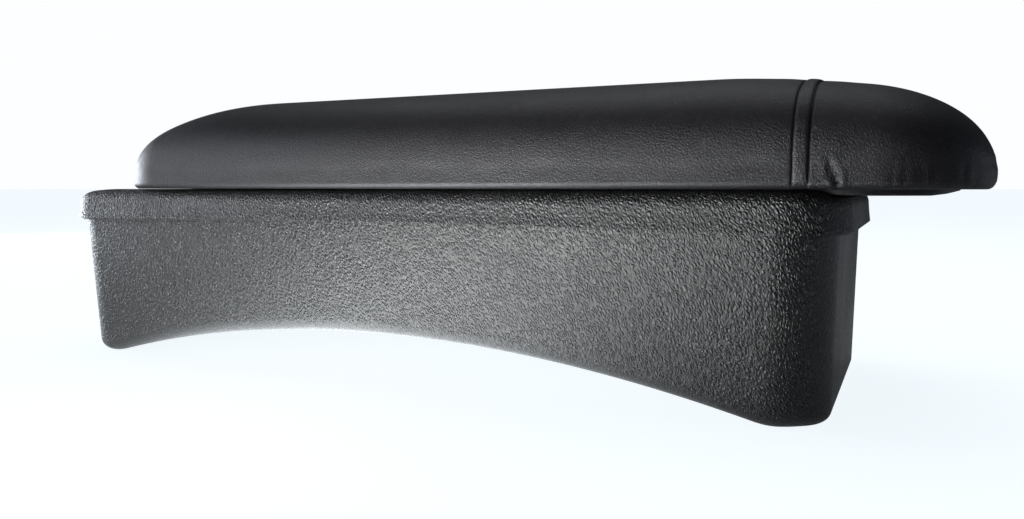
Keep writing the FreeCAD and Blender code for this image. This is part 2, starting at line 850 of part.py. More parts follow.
def shoe_screw_length():
    """Shoe screws end inside the shoe's head."""
    return board_bottom - plate_bottom + rail_sheet + shoe_screw_bite


def plate_ramp_tool():
    """Wedge that leaves the plate's front end running up to the pad."""
    ramp_start = plate_front - plate_ramp_length
    below = plate_bottom - 1
    return polygon_prism([
        (ramp_start, plate_bottom),
        (plate_front - plate_ramp_length / 2, plate_bottom + plate_ramp_height * plate_ramp_mid_share),
        (plate_front + 1, plate_bottom + plate_ramp_height),
        (plate_front + 1, below),
        (ramp_start, below),
    ], -big / 2, big / 2)


def make_base_plate():
    """Moulded plate that slides in the lid tray, raised in the middle between the leather's hems."""
    body = rounded_block(plate_rear, plate_front, plate_half_width, plate_corner, plate_bottom, pad_bottom)
    nose = rounded_block(plate_rear - 2 * plate_nose_corner, plate_front, plate_half_width, plate_nose_corner,
                         plate_bottom, pad_bottom)
    body = body.common(nose).removeSplitter()
    body = body.makeFillet(plate_edge_radius, [e for e in body.Edges if e.BoundBox.ZLength < 0.01])
    body = body.cut(plate_ramp_tool())
    land_inset = hem_width + land_gap
    land = rounded_block(plate_rear + land_gap, pad_front - land_inset, pad_half_width - land_inset,
                         plate_corner, pad_bottom, board_bottom)
    body = body.fuse(land)
    body = body.cut(stop_slot(plate_bottom - 1, board_bottom + 1))
    for x, y in board_screw_places():
        body = body.cut(screw_hole(x, y, plate_bottom, board_screw_length(), down=False))
    for side in (-1, 1):
        for x, y in shoe_screw_places(side):
            body = body.cut(screw_hole(x, y, shoe_top_screw(), shoe_screw_length()))
    pocket = detent_plunger_radius * notch_ball_share
    for x in notch_places():
        ball = Part.makeSphere(pocket, V(x, 0, plate_bottom - pocket + plate_thickness * notch_depth_share))
        body = body.cut(ball)
    return body.removeSplitter()


def board_screw_length():
    """Board screws go through the plate and well into the board."""
    return board_bottom - plate_bottom + board_thickness * board_screw_share


def make_slide_shoes(side):
    """Front and rear shoes of one side: a wide head held under the rail's lips, on a narrow stem."""
    head_half = rail_width / 2 - rail_sheet - shoe_clearance
    stem_half = rail_slot / 2 - shoe_stem_gap
    head_low = tray_floor_top + rail_sheet + shoe_clearance
    head_high = rail_top - rail_sheet - shoe_clearance
    y = side * rail_offset
    half = shoe_length / 2
    shapes = []
    for x in shoe_centres():
        head = block(x - half, x + half, y - head_half, y + head_half, head_low, head_high)
        stem = block(x - half, x + half, y - stem_half, y + stem_half, head_low, plate_bottom)
        shoe = head.fuse(stem)
        for sx, sy in shoe_screw_places(side):
            if abs(sx - x) < half:
                shoe = shoe.cut(screw_hole(sx, sy, shoe_top_screw(), shoe_screw_length()))
        shapes.append(shoe.removeSplitter())
    return group(shapes)


def make_shoe_screws():
    """Screws from the plate down into the shoes."""
    shapes = []
    for side in (-1, 1):
        for x, y in shoe_screw_places(side):
            shapes.append(screw(x, y, shoe_top_screw(), shoe_screw_length()))
    return group(shapes)


def make_board_screws():
    """Screws from below through the plate into the board."""
    return group([screw(x, y, plate_bottom, board_screw_length(), down=False) for x, y in board_screw_places()])


# ---- Pad: board, foam and leather ----
def pad_side_outline(inset):
    """Side view of the pad: upright rear, long gentle crown, rounded nose that tucks under."""
    crown = pad_bottom + pad_crown_height - inset
    low = board_bottom if inset > 0 else pad_bottom
    rear = pad_rear + inset
    front = pad_front - inset
    size = pad_crown_height
    points = [
        V(rear, 0, low),
        V(rear, 0, low + pad_rear_upright * size),
        V(rear + pad_rear_turn[0], 0, crown - pad_rear_turn[1] * size),
        V(rear + pad_rear_slope[0], 0, crown - pad_rear_slope[1] * size),
        V(rear + pad_rear_run, 0, crown),
        V(front - pad_nose_run, 0, crown),
        V(front - pad_nose_slope[0], 0, crown - pad_nose_slope[1] * size),
        V(front - pad_nose_turn[0], 0, crown - pad_nose_turn[1] * size),
        V(front, 0, low + pad_nose_tip * size),
        V(front - pad_nose_tuck[0], 0, low + pad_nose_tuck[1] * size),
        V(front - pad_nose_set_back, 0, low),
    ]
    rear_line = Part.LineSegment(points[0], points[1]).toShape()
    top_line = Part.BSplineCurve()
    top_line.interpolate(points[1:])
    base_line = Part.LineSegment(points[-1], points[0]).toShape()
    return [rear_line, top_line.toShape(), base_line]


def pad_cross_prism(inset):
    """End view of the pad: near-upright sides and a crowned top, carried along X."""
    half = pad_half_width - inset
    low = board_bottom if inset > 0 else pad_bottom
    shoulder = pad_bottom + pad_side_height - inset
    crown = pad_bottom + pad_crown_height - inset + 0.01
    bulge = half + pad_side_bulge
    x = pad_rear - 10
    right = V(x, -half, low)
    left = V(x, half, low)
    edge_z = shoulder + crown_edge_rise * (crown - shoulder)
    flat_z = crown - crown_flat_drop * (crown - shoulder)
    edge_y = half * crown_edge_share
    flat_y = half * crown_flat_share
    middle = (low + shoulder) / 2
    edges = [
        Part.LineSegment(left, right).toShape(),
        Part.Arc(right, V(x, -bulge, middle), V(x, -half, shoulder)).toShape(),
        Part.Arc(V(x, -half, shoulder), V(x, -edge_y, edge_z), V(x, -flat_y, flat_z)).toShape(),
        Part.Arc(V(x, -flat_y, flat_z), V(x, 0, crown), V(x, flat_y, flat_z)).toShape(),
        Part.Arc(V(x, flat_y, flat_z), V(x, edge_y, edge_z), V(x, half, shoulder)).toShape(),
        Part.Arc(V(x, half, shoulder), V(x, bulge, middle), left).toShape(),
    ]
    return Part.Face(Part.Wire(edges)).extrude(V(pad_length + 20, 0, 0))


def pad_plan_prism(inset):
    """Plan of the pad: rounded rear corners and rounder front corners."""
    half = pad_half_width + pad_side_bulge - inset
    rear = rounded_block(pad_rear + inset, pad_front - 2 * pad_corner_front, half, pad_corner_rear - inset,
                         pad_bottom - 1, pad_bottom + 2 * pad_crown_height)
    front = rounded_block(pad_rear + 2 * pad_corner_rear, pad_front - inset, half, pad_corner_front - inset,
                          pad_bottom - 1, pad_bottom + 2 * pad_crown_height)
    return rear.fuse(front).removeSplitter()


def pad_form(inset):
    """The pad's outer shape, moved in by inset."""
    body = pad_cross_prism(inset).common(pad_plan_prism(inset))
    return body.common(side_prism(pad_side_outline(inset), big / 2))


def slab(x0, x1, z0, z1):
    """Wide slab used to part the pad along its length or height."""
    return block(x0, x1, -big / 2, big / 2, z0, z1)


def seam_span():
    """Rear and front of the seam band."""
    return seam_x - seam_band_width / 2, seam_x + seam_band_width / 2


def leather_shell(proud):
    """Leather wrapped over foam and board, with its hem turned under the board."""
    shell = pad_form(-proud).cut(pad_form(leather_thickness))
    window = rounded_block(pad_rear + hem_width, pad_front - hem_width, pad_half_width - hem_width,
                           plate_corner, pad_bottom - 5, board_bottom)
    return shell.cut(window)


def make_cover_main():
    """Main leather panel, behind the seam band."""
    return leather_shell(0).common(slab(pad_rear - 5, seam_span()[0], 0, big))


def make_cover_front():
    """Front leather panel, from the seam band over the nose."""
    return leather_shell(0).common(slab(seam_span()[1], pad_front + 5, 0, big))


def make_seam_band():
    """Leather band over the seam, a little proud of both panels."""
    rear, front = seam_span()
    return leather_shell(seam_band_proud).common(slab(rear, front, pad_bottom, big))


def board_block():
    """Board with rounded edges, a little smaller than the leather's outline."""
    body = rounded_block(pad_rear + board_edge_gap, pad_front - board_nose_gap, pad_half_width - board_edge_gap,
                         pad_corner_rear - board_edge_gap, board_bottom, board_top)
    return body.makeFillet(board_edge_radius, [e for e in body.Edges if e.BoundBox.ZLength < 0.01])


def make_pad_board():
    """Plywood board inside the pad."""
    body = board_block()
    for x, y in board_screw_places():
        body = body.cut(screw_hole(x, y, plate_bottom, board_screw_length(), down=False))
    return body


def make_foam_core():
    """Foam block that fills the leather above and beside the board."""
    return pad_form(leather_thickness).cut(board_block())


def staple(x, y, along_x):
    """Wire staple with its crown flush in the leather and its legs in the board."""
    half = staple_width / 2
    wire = staple_wire / 2
    dx = half if along_x else wire
    dy = wire if along_x else half
    crown = block(x - dx, x + dx, y - dy, y + dy, pad_bottom, pad_bottom + staple_wire)
    body = crown
    for way in (-1, 1):
        leg_x = x + way * (half - wire) if along_x else x
        leg_y = y if along_x else y + way * (half - wire)
        leg = block(leg_x - wire, leg_x + wire, leg_y - wire, leg_y + wire, pad_bottom, pad_bottom + staple_leg)
        body = body.fuse(leg)
    return body.removeSplitter()


def make_cover_staples():
    """Staples that hold the leather's hem to the board, all round the underside."""
    shapes = []
    side = pad_half_width - staple_inset
    start = pad_rear + pad_corner_rear + staple_width
    end = pad_front - pad_corner_front - staple_width
    step = (end - start) / (staples_per_side - 1)
    for index in range(staples_per_side):
        x = start + index * step
        if abs(x - seam_x) > seam_band_width + staple_width / 2:
            shapes.append(staple(x, -side, True))
            shapes.append(staple(x, side, True))
    reach = pad_half_width - pad_corner_front - staple_width / 2
    for index in range(staples_per_end):
        y = -reach + index * 2 * reach / (staples_per_end - 1)
        shapes.append(staple(pad_rear + staple_inset + leather_thickness, y, False))
        shapes.append(staple(pad_front - staple_inset - plate_front_set_in, y, False))
    return group(shapes)


# ---- Build ----
BUILDERS = {
    "storage_box": make_storage_box,
    "mouth_seal": make_mouth_seal,
    "floor_mat": make_floor_mat,
    "hinge_pin": make_hinge_pin,
    "pin_clips": make_pin_clips,
    "knuckle_bushes": make_knuckle_bushes,
    "magnet_holder": make_magnet_holder,
    "catch_magnet": make_catch_magnet,
    "holder_screws": make_holder_screws,
    "lid_frame": make_lid_frame,
    "lid_liner": make_lid_liner,
    "liner_screws": make_liner_screws,
    "strike_plate": make_strike_plate,
    "slide_rail_left": lambda: make_slide_rail(1),
    "slide_rail_right": lambda: make_slide_rail(-1),
    "rail_screws": make_rail_screws,
    "stop_screw": make_stop_screw,
    "stop_sleeve": make_stop_sleeve,
    "detent_housing": make_detent_housing,
    "detent_spring": make_detent_spring,
    "detent_plunger": make_detent_plunger,
    "base_plate": make_base_plate,
    "slide_shoes_left": lambda: make_slide_shoes(1),
    "slide_shoes_right": lambda: make_slide_shoes(-1),
    "shoe_screws": make_shoe_screws,
    "board_screws": make_board_screws,
    "pad_board": make_pad_board,
    "foam_core": make_foam_core,
    "cover_main": make_cover_main,
    "seam_band": make_seam_band,
    "cover_front": make_cover_front,
    "cover_staples": make_cover_staples,
}


def build():
    """Make every piece, test it and write its STEP file."""
    os.makedirs("parts", exist_ok=True)
    for node, maker in BUILDERS.items():
        shape = maker()
        solids = shape.Solids
        if not solids or not all(solid.isValid() and solid.isClosed() for solid in solids):
            raise ValueError(node + " is not a closed valid solid")
        clean = solids[0] if len(solids) == 1 else Part.makeCompound(solids)
        clean.exportStep(os.path.join("parts", node + ".step"))
        box = clean.optimalBoundingBox()
        print("%-18s solids %3d volume %10.1f  x %7.1f %7.1f  y %6.1f %6.1f  z %6.1f %6.1f" % (
            node, len(solids), clean.Volume, box.XMin, box.XMax, box.YMin, box.YMax, box.ZMin, box.ZMax))


build()
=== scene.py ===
"""Looks of a console armrest box: a grained storage box, a hinged lid frame and a sliding leather pad.

Everything is in metres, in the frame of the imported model: +X is the front, +Y the left side, +Z up,
and the origin lies on the plane of the feet.
"""
import logging
import math
from dataclasses import dataclass, field
from enum import Enum
from typing import Dict, List, Optional, Sequence, Tuple

import bmesh
import bpy
import numpy as np
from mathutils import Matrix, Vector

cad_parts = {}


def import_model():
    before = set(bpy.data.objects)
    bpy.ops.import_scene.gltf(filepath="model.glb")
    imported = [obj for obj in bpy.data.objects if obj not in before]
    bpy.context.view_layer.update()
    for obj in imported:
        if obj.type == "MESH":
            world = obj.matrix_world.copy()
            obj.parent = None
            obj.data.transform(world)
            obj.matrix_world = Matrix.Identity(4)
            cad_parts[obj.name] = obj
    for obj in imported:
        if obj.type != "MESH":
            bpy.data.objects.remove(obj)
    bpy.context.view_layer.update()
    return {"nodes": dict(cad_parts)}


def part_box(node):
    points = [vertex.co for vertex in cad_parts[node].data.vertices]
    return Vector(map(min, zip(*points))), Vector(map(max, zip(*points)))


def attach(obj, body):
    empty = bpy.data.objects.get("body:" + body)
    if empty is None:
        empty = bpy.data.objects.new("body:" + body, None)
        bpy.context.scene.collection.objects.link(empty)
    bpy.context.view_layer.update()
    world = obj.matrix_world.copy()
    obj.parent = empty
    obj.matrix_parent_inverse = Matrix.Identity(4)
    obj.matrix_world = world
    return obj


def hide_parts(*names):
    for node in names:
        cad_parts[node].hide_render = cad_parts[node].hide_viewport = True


LOG = logging.getLogger("armrest")
MM = 0.001
HEM_DROP = 0.45 * MM
Color = Tuple[float, float, float, float]
# As it runs here the simulation leaves the leather where it is, apart from rounding, and a higher pressure
# or a lower mass doesn't change that. The pad's form comes from ArmPad's own curves.
CLOTH_SETTINGS: Dict[str, object] = {
    "quality": 6, "mass": 0.3, "tension_stiffness": 25, "compression_stiffness": 25, "shear_stiffness": 12,
    "bending_stiffness": 0.6, "use_pressure": True, "uniform_pressure_force": 4.0,
    "vertex_group_mass": "held", "shrink_min": -0.015,
}
CLOTH_FRAMES = 20


class Slot(Enum):
    """Material slots of the record; the pad's pieces use them to tell the band's finish from the panels'."""

    BOX = "grained_abs"
    RIM = "rim_abs"
    LEATHER = "leather_black"
    BAND = "leather_band"
    SEAL = "seal_rubber"
    MAT = "mat_rubber"
    FOAM = "foam"


class Side(Enum):
    """Sides of the object along Y."""

    LEFT = 1
    RIGHT = -1


# ---------------------------------------------------------------- shape helpers
def smooth(low: float, high: float, value: np.ndarray) -> np.ndarray:
    """Smooth step: 0 below low, 1 above high, and 3t^2 - 2t^3 between them.

    Args:
        low: where the step starts.
        high: where the step ends.
        value: positions along the step.

    Returns:
        The step's height at each position.
    """
    t = np.clip((np.asarray(value) - low) / (high - low), 0.0, 1.0)
    return t * t * (3.0 - 2.0 * t)


def bump(centre: float, width: float, value: np.ndarray) -> np.ndarray:
    """Bell curve of height one: e to the minus squared distance from centre over width."""
    return np.exp(-(((value - centre) / width) ** 2))


def arc(centre: Tuple[float, float], radius: float, start: float, end: float, count: int) -> np.ndarray:
    """Points on a circle from start to end degrees, without the last one.

    Args:
        centre: centre of the circle in plan.
        radius: its radius.
        start: first angle, in degrees from +X.
        end: last angle, in degrees from +X.
        count: number of points.

    Returns:
        A count by 2 array.
    """
    turn = np.radians(np.linspace(start, end, count + 1)[:-1])
    return np.stack([centre[0] + radius * np.cos(turn), centre[1] + radius * np.sin(turn)], axis=1)


def run(start: Tuple[float, float], end: Tuple[float, float], count: int) -> np.ndarray:
    """Points on a straight line from start to end, without the last one."""
    share = np.linspace(0.0, 1.0, count + 1)[:-1, None]
    return np.asarray(start)[None, :] * (1 - share) + np.asarray(end)[None, :] * share


@dataclass(frozen=True)
class RingLayout:
    """How many points a rounded-rectangle ring has on each stretch."""

    along: int = 150
    across: int = 70
    corner: int = 12

    @property
    def count(self) -> int:
        """Points in one ring."""
        return 2 * (self.along + self.across + 4 * self.corner)

    def outline(self, x0: float, x1: float, half: float, rear: float, front: float) -> np.ndarray:
        """Rounded rectangle seen from above, anticlockwise from the middle of the rear right corner.

        Args:
            x0: rear end.
            x1: front end.
            half: half of the width.
            rear: radius of the rear corners.
            front: radius of the front corners.

        Returns:
            A count by 2 array of plan positions.
        """
        c = self.corner
        return np.concatenate([
            arc((x0 + rear, -half + rear), rear, 225, 270, c),
            run((x0 + rear, -half), (x1 - front, -half), self.along),
            arc((x1 - front, -half + front), front, 270, 315, c),
            arc((x1 - front, -half + front), front, 315, 360, c),
            run((x1, -half + front), (x1, half - front), self.across),
            arc((x1 - front, half - front), front, 0, 45, c),
            arc((x1 - front, half - front), front, 45, 90, c),
            run((x1 - front, half), (x0 + rear, half), self.along),
            arc((x0 + rear, half - rear), rear, 90, 135, c),
            arc((x0 + rear, half - rear), rear, 135, 180, c),
            run((x0, half - rear), (x0, -half + rear), self.across),
            arc((x0 + rear, -half + rear), rear, 180, 225, c),
        ])

    def patch(self, ring: np.ndarray, start: int, facing_up: bool) -> Tuple[np.ndarray, np.ndarray]:
        """Fills a ring with a blended patch.

        Each inner point is the sum of the two straight blends between opposite edges, less the blend
        of the four corners.

        Args:
            ring: count by 3 ring of points.
            start: index of the ring's first vertex in the mesh, with the inner vertices following all rings.
            facing_up: whether the faces look up.

        Returns:
            The inner vertices, and the faces as rows of local keys to be looked up by the caller.
        """
        n = self.along + 2 * self.corner
        m = self.across + 2 * self.corner
        index = np.arange(self.count)
        low = index[:n + 1]
        front = index[n:n + m + 1]
        high = index[n + m:2 * n + m + 1][::-1]
        rear = np.concatenate([index[2 * n + m:], index[:1]])[::-1]
        u = np.linspace(0, 1, n + 1)[:, None, None]
        v = np.linspace(0, 1, m + 1)[None, :, None]
        lo, hi, re, fr = ring[low][:, None], ring[high][:, None], ring[rear][None], ring[front][None]
        corners = ((1 - u) * (1 - v) * ring[low[0]] + u * (1 - v) * ring[low[-1]]
                   + (1 - u) * v * ring[high[0]] + u * v * ring[high[-1]])
        grid = (1 - v) * lo + v * hi + (1 - u) * re + u * fr - corners
        keys = np.full((n + 1, m + 1), -1, int)
        keys[:, 0] = low
        keys[:, -1] = high
        keys[0, :] = rear
        keys[-1, :] = front
        keys = np.where(keys >= 0, keys + start, -1)
        inner = keys < 0
        keys[inner] = -1 - np.arange(inner.sum())
        a, b, c, d = keys[:-1, :-1], keys[1:, :-1], keys[1:, 1:], keys[:-1, 1:]
        quads = np.stack([a, b, c, d] if facing_up else [a, d, c, b], axis=-1).reshape(-1, 4)
        return grid[inner], quads


def build_mesh(name: str, points: np.ndarray, faces: Sequence[Sequence[int]]) -> bpy.types.Object:
    """Makes a smooth-shaded object from points and faces, with doubled points merged.

    Args:
        name: the piece's name.
        points: n by 3 positions.
        faces: corner indices of each face.

    Returns:
        The new object, at the origin.
    """
    mesh = bpy.data.meshes.new(name)
    mesh.from_pydata(points.tolist(), [], [list(f) for f in faces])
    work = bmesh.new()
    work.from_mesh(mesh)
    bmesh.ops.remove_doubles(work, verts=work.verts, dist=0.4e-6)
    bmesh.ops.dissolve_degenerate(work, edges=work.edges, dist=0.4e-6)
    work.to_mesh(mesh)
    work.free()
    mesh.polygons.foreach_set("use_smooth", np.ones(len(mesh.polygons), bool))
    mesh.update()
    piece = bpy.data.objects.new(name, mesh)
    bpy.context.scene.collection.objects.link(piece)
    return piece


def strips(upper: np.ndarray, lower: np.ndarray) -> np.ndarray:
    """Quads between rows of point numbers that run round a loop."""
    return np.stack([upper, lower, np.roll(lower, -1, 1), np.roll(upper, -1, 1)], -1).reshape(-1, 4)


def shell(name: str, rings: Sequence[np.ndarray], layout: RingLayout, loop: bool = False) -> bpy.types.Object:
    """Closed surface through a stack of rings.

    The first ring is closed by a patch that faces up and the last by one that faces down, unless the
    stack is a loop, whose last ring joins its first.

    Args:
        name: the piece's name.
        rings: rings in order, from the middle of the top outwards and down.
        layout: how the rings are laid out.
        loop: whether the stack closes on itself.

    Returns:
        The new object.
    """
    stack = np.stack(rings)
    rows, count = stack.shape[:2]
    points = [stack.reshape(-1, 3)]
    index = np.arange(rows * count).reshape(rows, count)
    upper = index if loop else index[:-1]
    lower = np.roll(index, -1, axis=0) if loop else index[1:]
    quads = [strips(upper, lower)]
    total = rows * count
    if not loop:
        for row, facing_up in ((0, True), (rows - 1, False)):
            inner, faces = layout.patch(stack[row], row * count, facing_up)
            faces = np.where(faces < 0, total - 1 - faces, faces)
            points.append(inner)
            quads.append(faces)
            total += len(inner)
    return build_mesh(name, np.concatenate(points), np.concatenate(quads))


def at_height(plan: np.ndarray, z: np.ndarray) -> np.ndarray:
    """Ring of plan positions lifted to height z, a number or one value per point."""
    return np.column_stack([plan, np.broadcast_to(z, len(plan))])


def slab(name: str, outline: np.ndarray, low: float, high: float, edge: float) -> bpy.types.Object:
    """Flat piece with rounded edges, cut to an outline.

    The outline shrinks towards its middle by edge * (1 - cos a) while its height grows by edge * sin a.

    Args:
        name: the piece's name.
        outline: n by 2 corners in the XZ plane.
        low: start of the thickness.
        high: end of the thickness.
        edge: radius of the edges.

    Returns:
        The new object.
    """
    centre = outline.mean(axis=0)
    size = np.abs(outline - centre).max()
    turn = np.radians([0, 30, 60, 90])
    inset = edge * (1 - np.sin(turn)) / size
    rise = edge * (1 - np.cos(turn))
    layers = [(inset[k], low + rise[k]) for k in range(4)]
    layers += [(inset[3 - k], high - rise[3 - k]) for k in range(4)]
    count = len(outline)
    rings = []
    for share, height in layers:
        flat = centre + (outline - centre) * (1 - share)
        rings.append(np.column_stack([flat[:, 0], np.full(count, height), flat[:, 1]]))
    points = np.concatenate(rings)
    index = np.arange(len(points)).reshape(len(layers), count)
    quads = np.stack([index[:-1], np.roll(index[:-1], -1, 1), np.roll(index[1:], -1, 1), index[1:]], -1)
    faces = quads.reshape(-1, 4).tolist() + [index[0][::-1].tolist(), index[-1].tolist()]
    piece = build_mesh(name, points, faces)
    work = bmesh.new()
    work.from_mesh(piece.data)
    bmesh.ops.recalc_face_normals(work, faces=work.faces)
    work.to_mesh(piece.data)
    work.free()
    return piece


def join(target: bpy.types.Object, *others: bpy.types.Object) -> bpy.types.Object:
    """Adds the meshes of other objects to one object, and removes them."""
    work = bmesh.new()
    work.from_mesh(target.data)
    for other in others:
        work.from_mesh(other.data)
        bpy.data.objects.remove(other)
    work.to_mesh(target.data)
    work.free()
    target.data.polygons.foreach_set("use_smooth", np.ones(len(target.data.polygons), bool))
    return target


def cut_round_holes(piece: bpy.types.Object, holes: Sequence[Tuple[float, ...]]) -> None:
    """Cuts upright round holes.

    Args:
        piece: a closed mesh.
        holes: x, y, radius, lowest and highest height of each hole.
    """
    work = bmesh.new()
    for x, y, radius, low, high in holes:
        made = bmesh.ops.create_cone(work, cap_ends=True, segments=32, radius1=radius, radius2=radius,
                                     depth=high - low)
        bmesh.ops.translate(work, verts=made["verts"], vec=(x, y, (low + high) / 2))
    mesh = bpy.data.meshes.new("cutter")
    work.to_mesh(mesh)
    work.free()
    cutter = bpy.data.objects.new("cutter", mesh)
    bpy.context.scene.collection.objects.link(cutter)
    change = piece.modifiers.new("holes", "BOOLEAN")
    change.operation = "DIFFERENCE"
    change.solver = "EXACT"
    change.object = cutter
    apply_modifiers(piece)
    bpy.data.objects.remove(cutter)


def apply_modifiers(piece: bpy.types.Object) -> None:
    """Replaces a piece's mesh by the result of its modifiers."""
    graph = bpy.context.evaluated_depsgraph_get()
    result = bpy.data.meshes.new_from_object(piece.evaluated_get(graph))
    piece.modifiers.clear()
    piece.data = result


def sharpen(piece: bpy.types.Object, degrees: float) -> None:
    """Marks edges sharper than an angle, so that flat faces stay flat in shading."""
    work = bmesh.new()
    work.from_mesh(piece.data)
    limit = math.radians(degrees)
    for edge in work.edges:
        edge.smooth = len(edge.link_faces) == 2 and edge.calc_face_angle(0.0) < limit
    work.to_mesh(piece.data)
    work.free()


def dress(piece: bpy.types.Object, material: bpy.types.Material) -> None:
    """Gives a piece one material."""
    piece.data.materials.clear()
    piece.data.materials.append(material)


# ---------------------------------------------------------------- material helpers
class Tree:
    """Short way to write a node tree."""

    def __init__(self, tree: bpy.types.NodeTree) -> None:
        """Wraps a tree."""
        self.tree = tree

    def node(self, kind: str, inputs: Optional[Dict[object, object]] = None,
             **settings: object) -> bpy.types.Node:
        """Adds a node.

        Args:
            kind: the node's type name without the leading ShaderNode.
            inputs: a value or an output socket for each input, by name or number.
            settings: attributes of the node.

        Returns:
            The node.
        """
        made = self.tree.nodes.new("ShaderNode" + kind)
        for name, value in settings.items():
            setattr(made, name, value)
        for key, value in (inputs or {}).items():
            if isinstance(value, bpy.types.NodeSocket):
                self.tree.links.new(value, made.inputs[key])
            else:
                made.inputs[key].default_value = value
        return made

    def math(self, operation: str, first: object, second: object = 0.0,
             clamp: bool = False) -> bpy.types.NodeSocket:
        """Result of a math node."""
        return self.node("Math", {0: first, 1: second}, operation=operation, use_clamp=clamp).outputs[0]

    def ramp(self, value: bpy.types.NodeSocket, low: float, high: float) -> bpy.types.NodeSocket:
        """Smooth 0 to 1 ramp between two values."""
        made = self.node("MapRange", {"Value": value, "From Min": low, "From Max": high},
                         interpolation_type="SMOOTHSTEP")
        return made.outputs["Result"]

    def blend(self, share: object, first: object, second: object) -> bpy.types.NodeSocket:
        """Mix of two colours."""
        made = self.node("Mix", data_type="RGBA")
        for key, value in ((0, share), (6, first), (7, second)):
            if isinstance(value, bpy.types.NodeSocket):
                self.tree.links.new(value, made.inputs[key])
            else:
                made.inputs[key].default_value = value
        return made.outputs[2]

    def place(self, scale: Sequence[float] = (1, 1, 1),
              turn: Sequence[float] = (0, 0, 0)) -> bpy.types.NodeSocket:
        """Object coordinates, turned and scaled."""
        coords = self.node("TexCoord").outputs["Object"]
        turned = self.node("Mapping", {"Vector": coords, "Rotation": turn}).outputs[0]
        return self.node("Mapping", {"Vector": turned, "Scale": scale}).outputs[0]


class PebbleGroup:
    """Node group: raised cells parted by creases, as in embossed leather and grained plastic."""

    NAME = "pebble_grain"

    @classmethod
    def get(cls) -> bpy.types.NodeTree:
        """Builds the group once.

        Returns:
            A group with inputs Vector, Scale and Crease, and outputs Height and Cell.
        """
        if cls.NAME in bpy.data.node_groups:
            return bpy.data.node_groups[cls.NAME]
        group = bpy.data.node_groups.new(cls.NAME, "ShaderNodeTree")
        face = group.interface
        face.new_socket("Vector", in_out="INPUT", socket_type="NodeSocketVector")
        face.new_socket("Scale", in_out="INPUT", socket_type="NodeSocketFloat")
        face.new_socket("Crease", in_out="INPUT", socket_type="NodeSocketFloat")
        face.new_socket("Height", in_out="OUTPUT", socket_type="NodeSocketFloat")
        face.new_socket("Cell", in_out="OUTPUT", socket_type="NodeSocketFloat")
        t = Tree(group)
        source = group.nodes.new("NodeGroupInput")
        target = group.nodes.new("NodeGroupOutput")
        vector, scale = source.outputs["Vector"], source.outputs["Scale"]
        wobble = t.node("TexNoise", {"Vector": vector, "Scale": scale, "Detail": 2.0})
        shifted = t.node("VectorMath", {0: wobble.outputs["Color"], 1: (0.5, 0.5, 0.5)}, operation="SUBTRACT")
        reach = t.math("DIVIDE", 0.9, scale)
        moved = t.node("VectorMath", {0: shifted.outputs[0], 3: reach}, operation="SCALE")
        where = t.node("VectorMath", {0: vector, 1: moved.outputs[0]}, operation="ADD").outputs[0]
        edge = t.node("TexVoronoi", {"Vector": where, "Scale": scale}, feature="DISTANCE_TO_EDGE")
        cell = t.node("TexVoronoi", {"Vector": where, "Scale": scale}, feature="F1")
        raised = t.node("MapRange", {"Value": edge.outputs["Distance"], "From Min": 0.0,
                                     "From Max": source.outputs["Crease"]}, interpolation_type="SMOOTHSTEP")
        dome = t.math("SUBTRACT", 1.0, cell.outputs["Distance"], clamp=True)
        level = t.math("ADD", 0.55, t.math("MULTIPLY", dome, 0.45))
        height = t.math("MULTIPLY", raised.outputs["Result"], level)
        tint = t.node("SeparateColor", {0: cell.outputs["Color"]})
        t.tree.links.new(height, target.inputs["Height"])
        t.tree.links.new(tint.outputs[0], target.inputs["Cell"])
        return group


class WearAndEdgeHighlightGroup:
    """Node group: dust that settles on upward faces, a polish that comes and goes, and convex edges lightened
    as rubbed wear and as a painted highlight.
    """

    NAME = "handling_wear"

    @classmethod
    def get(cls) -> bpy.types.NodeTree:
        """Builds the group once.

        Returns:
            A group with inputs Vector and Scale, and outputs Dust, Patch and the edge output, whose lighter
            convex edges are rubbed wear and a painted highlight.
        """
        if cls.NAME in bpy.data.node_groups:
            return bpy.data.node_groups[cls.NAME]
        group = bpy.data.node_groups.new(cls.NAME, "ShaderNodeTree")
        face = group.interface
        face.new_socket("Vector", in_out="INPUT", socket_type="NodeSocketVector")
        face.new_socket("Scale", in_out="INPUT", socket_type="NodeSocketFloat")
        for name in ("Dust", "Patch", "Edge"):
            face.new_socket(name, in_out="OUTPUT", socket_type="NodeSocketFloat")
        t = Tree(group)
        source = group.nodes.new("NodeGroupInput")
        target = group.nodes.new("NodeGroupOutput")
        vector, scale = source.outputs["Vector"], source.outputs["Scale"]
        broad = t.node("TexNoise", {"Vector": vector, "Scale": scale, "Detail": 4.0, "Roughness": 0.62})
        fine_scale = t.math("MULTIPLY", scale, 34.0)
        fine = t.node("TexNoise", {"Vector": vector, "Scale": fine_scale, "Detail": 3.0})
        geometry = t.node("NewGeometry")
        upward = t.node("SeparateXYZ", {0: geometry.outputs["Normal"]}).outputs[2]
        specks = t.ramp(fine.outputs[0], 0.60, 0.76)
        settled = t.ramp(upward, 0.1, 0.95)
        dust = t.math("MULTIPLY", specks, t.math("ADD", t.math("MULTIPLY", settled, 0.8), 0.2))
        # Convex edges found by pointiness: partly rubbed wear, partly a painted highlight where rounded edges
        # catch the light.
        edge_wear_and_highlight = t.ramp(geometry.outputs["Pointiness"], 0.52, 0.60)
        edge = t.math("MULTIPLY", edge_wear_and_highlight, t.ramp(broad.outputs[0], 0.35, 0.65))
        t.tree.links.new(dust, target.inputs["Dust"])
        t.tree.links.new(t.ramp(broad.outputs[0], 0.32, 0.70), target.inputs["Patch"])
        t.tree.links.new(edge, target.inputs["Edge"])
        return group


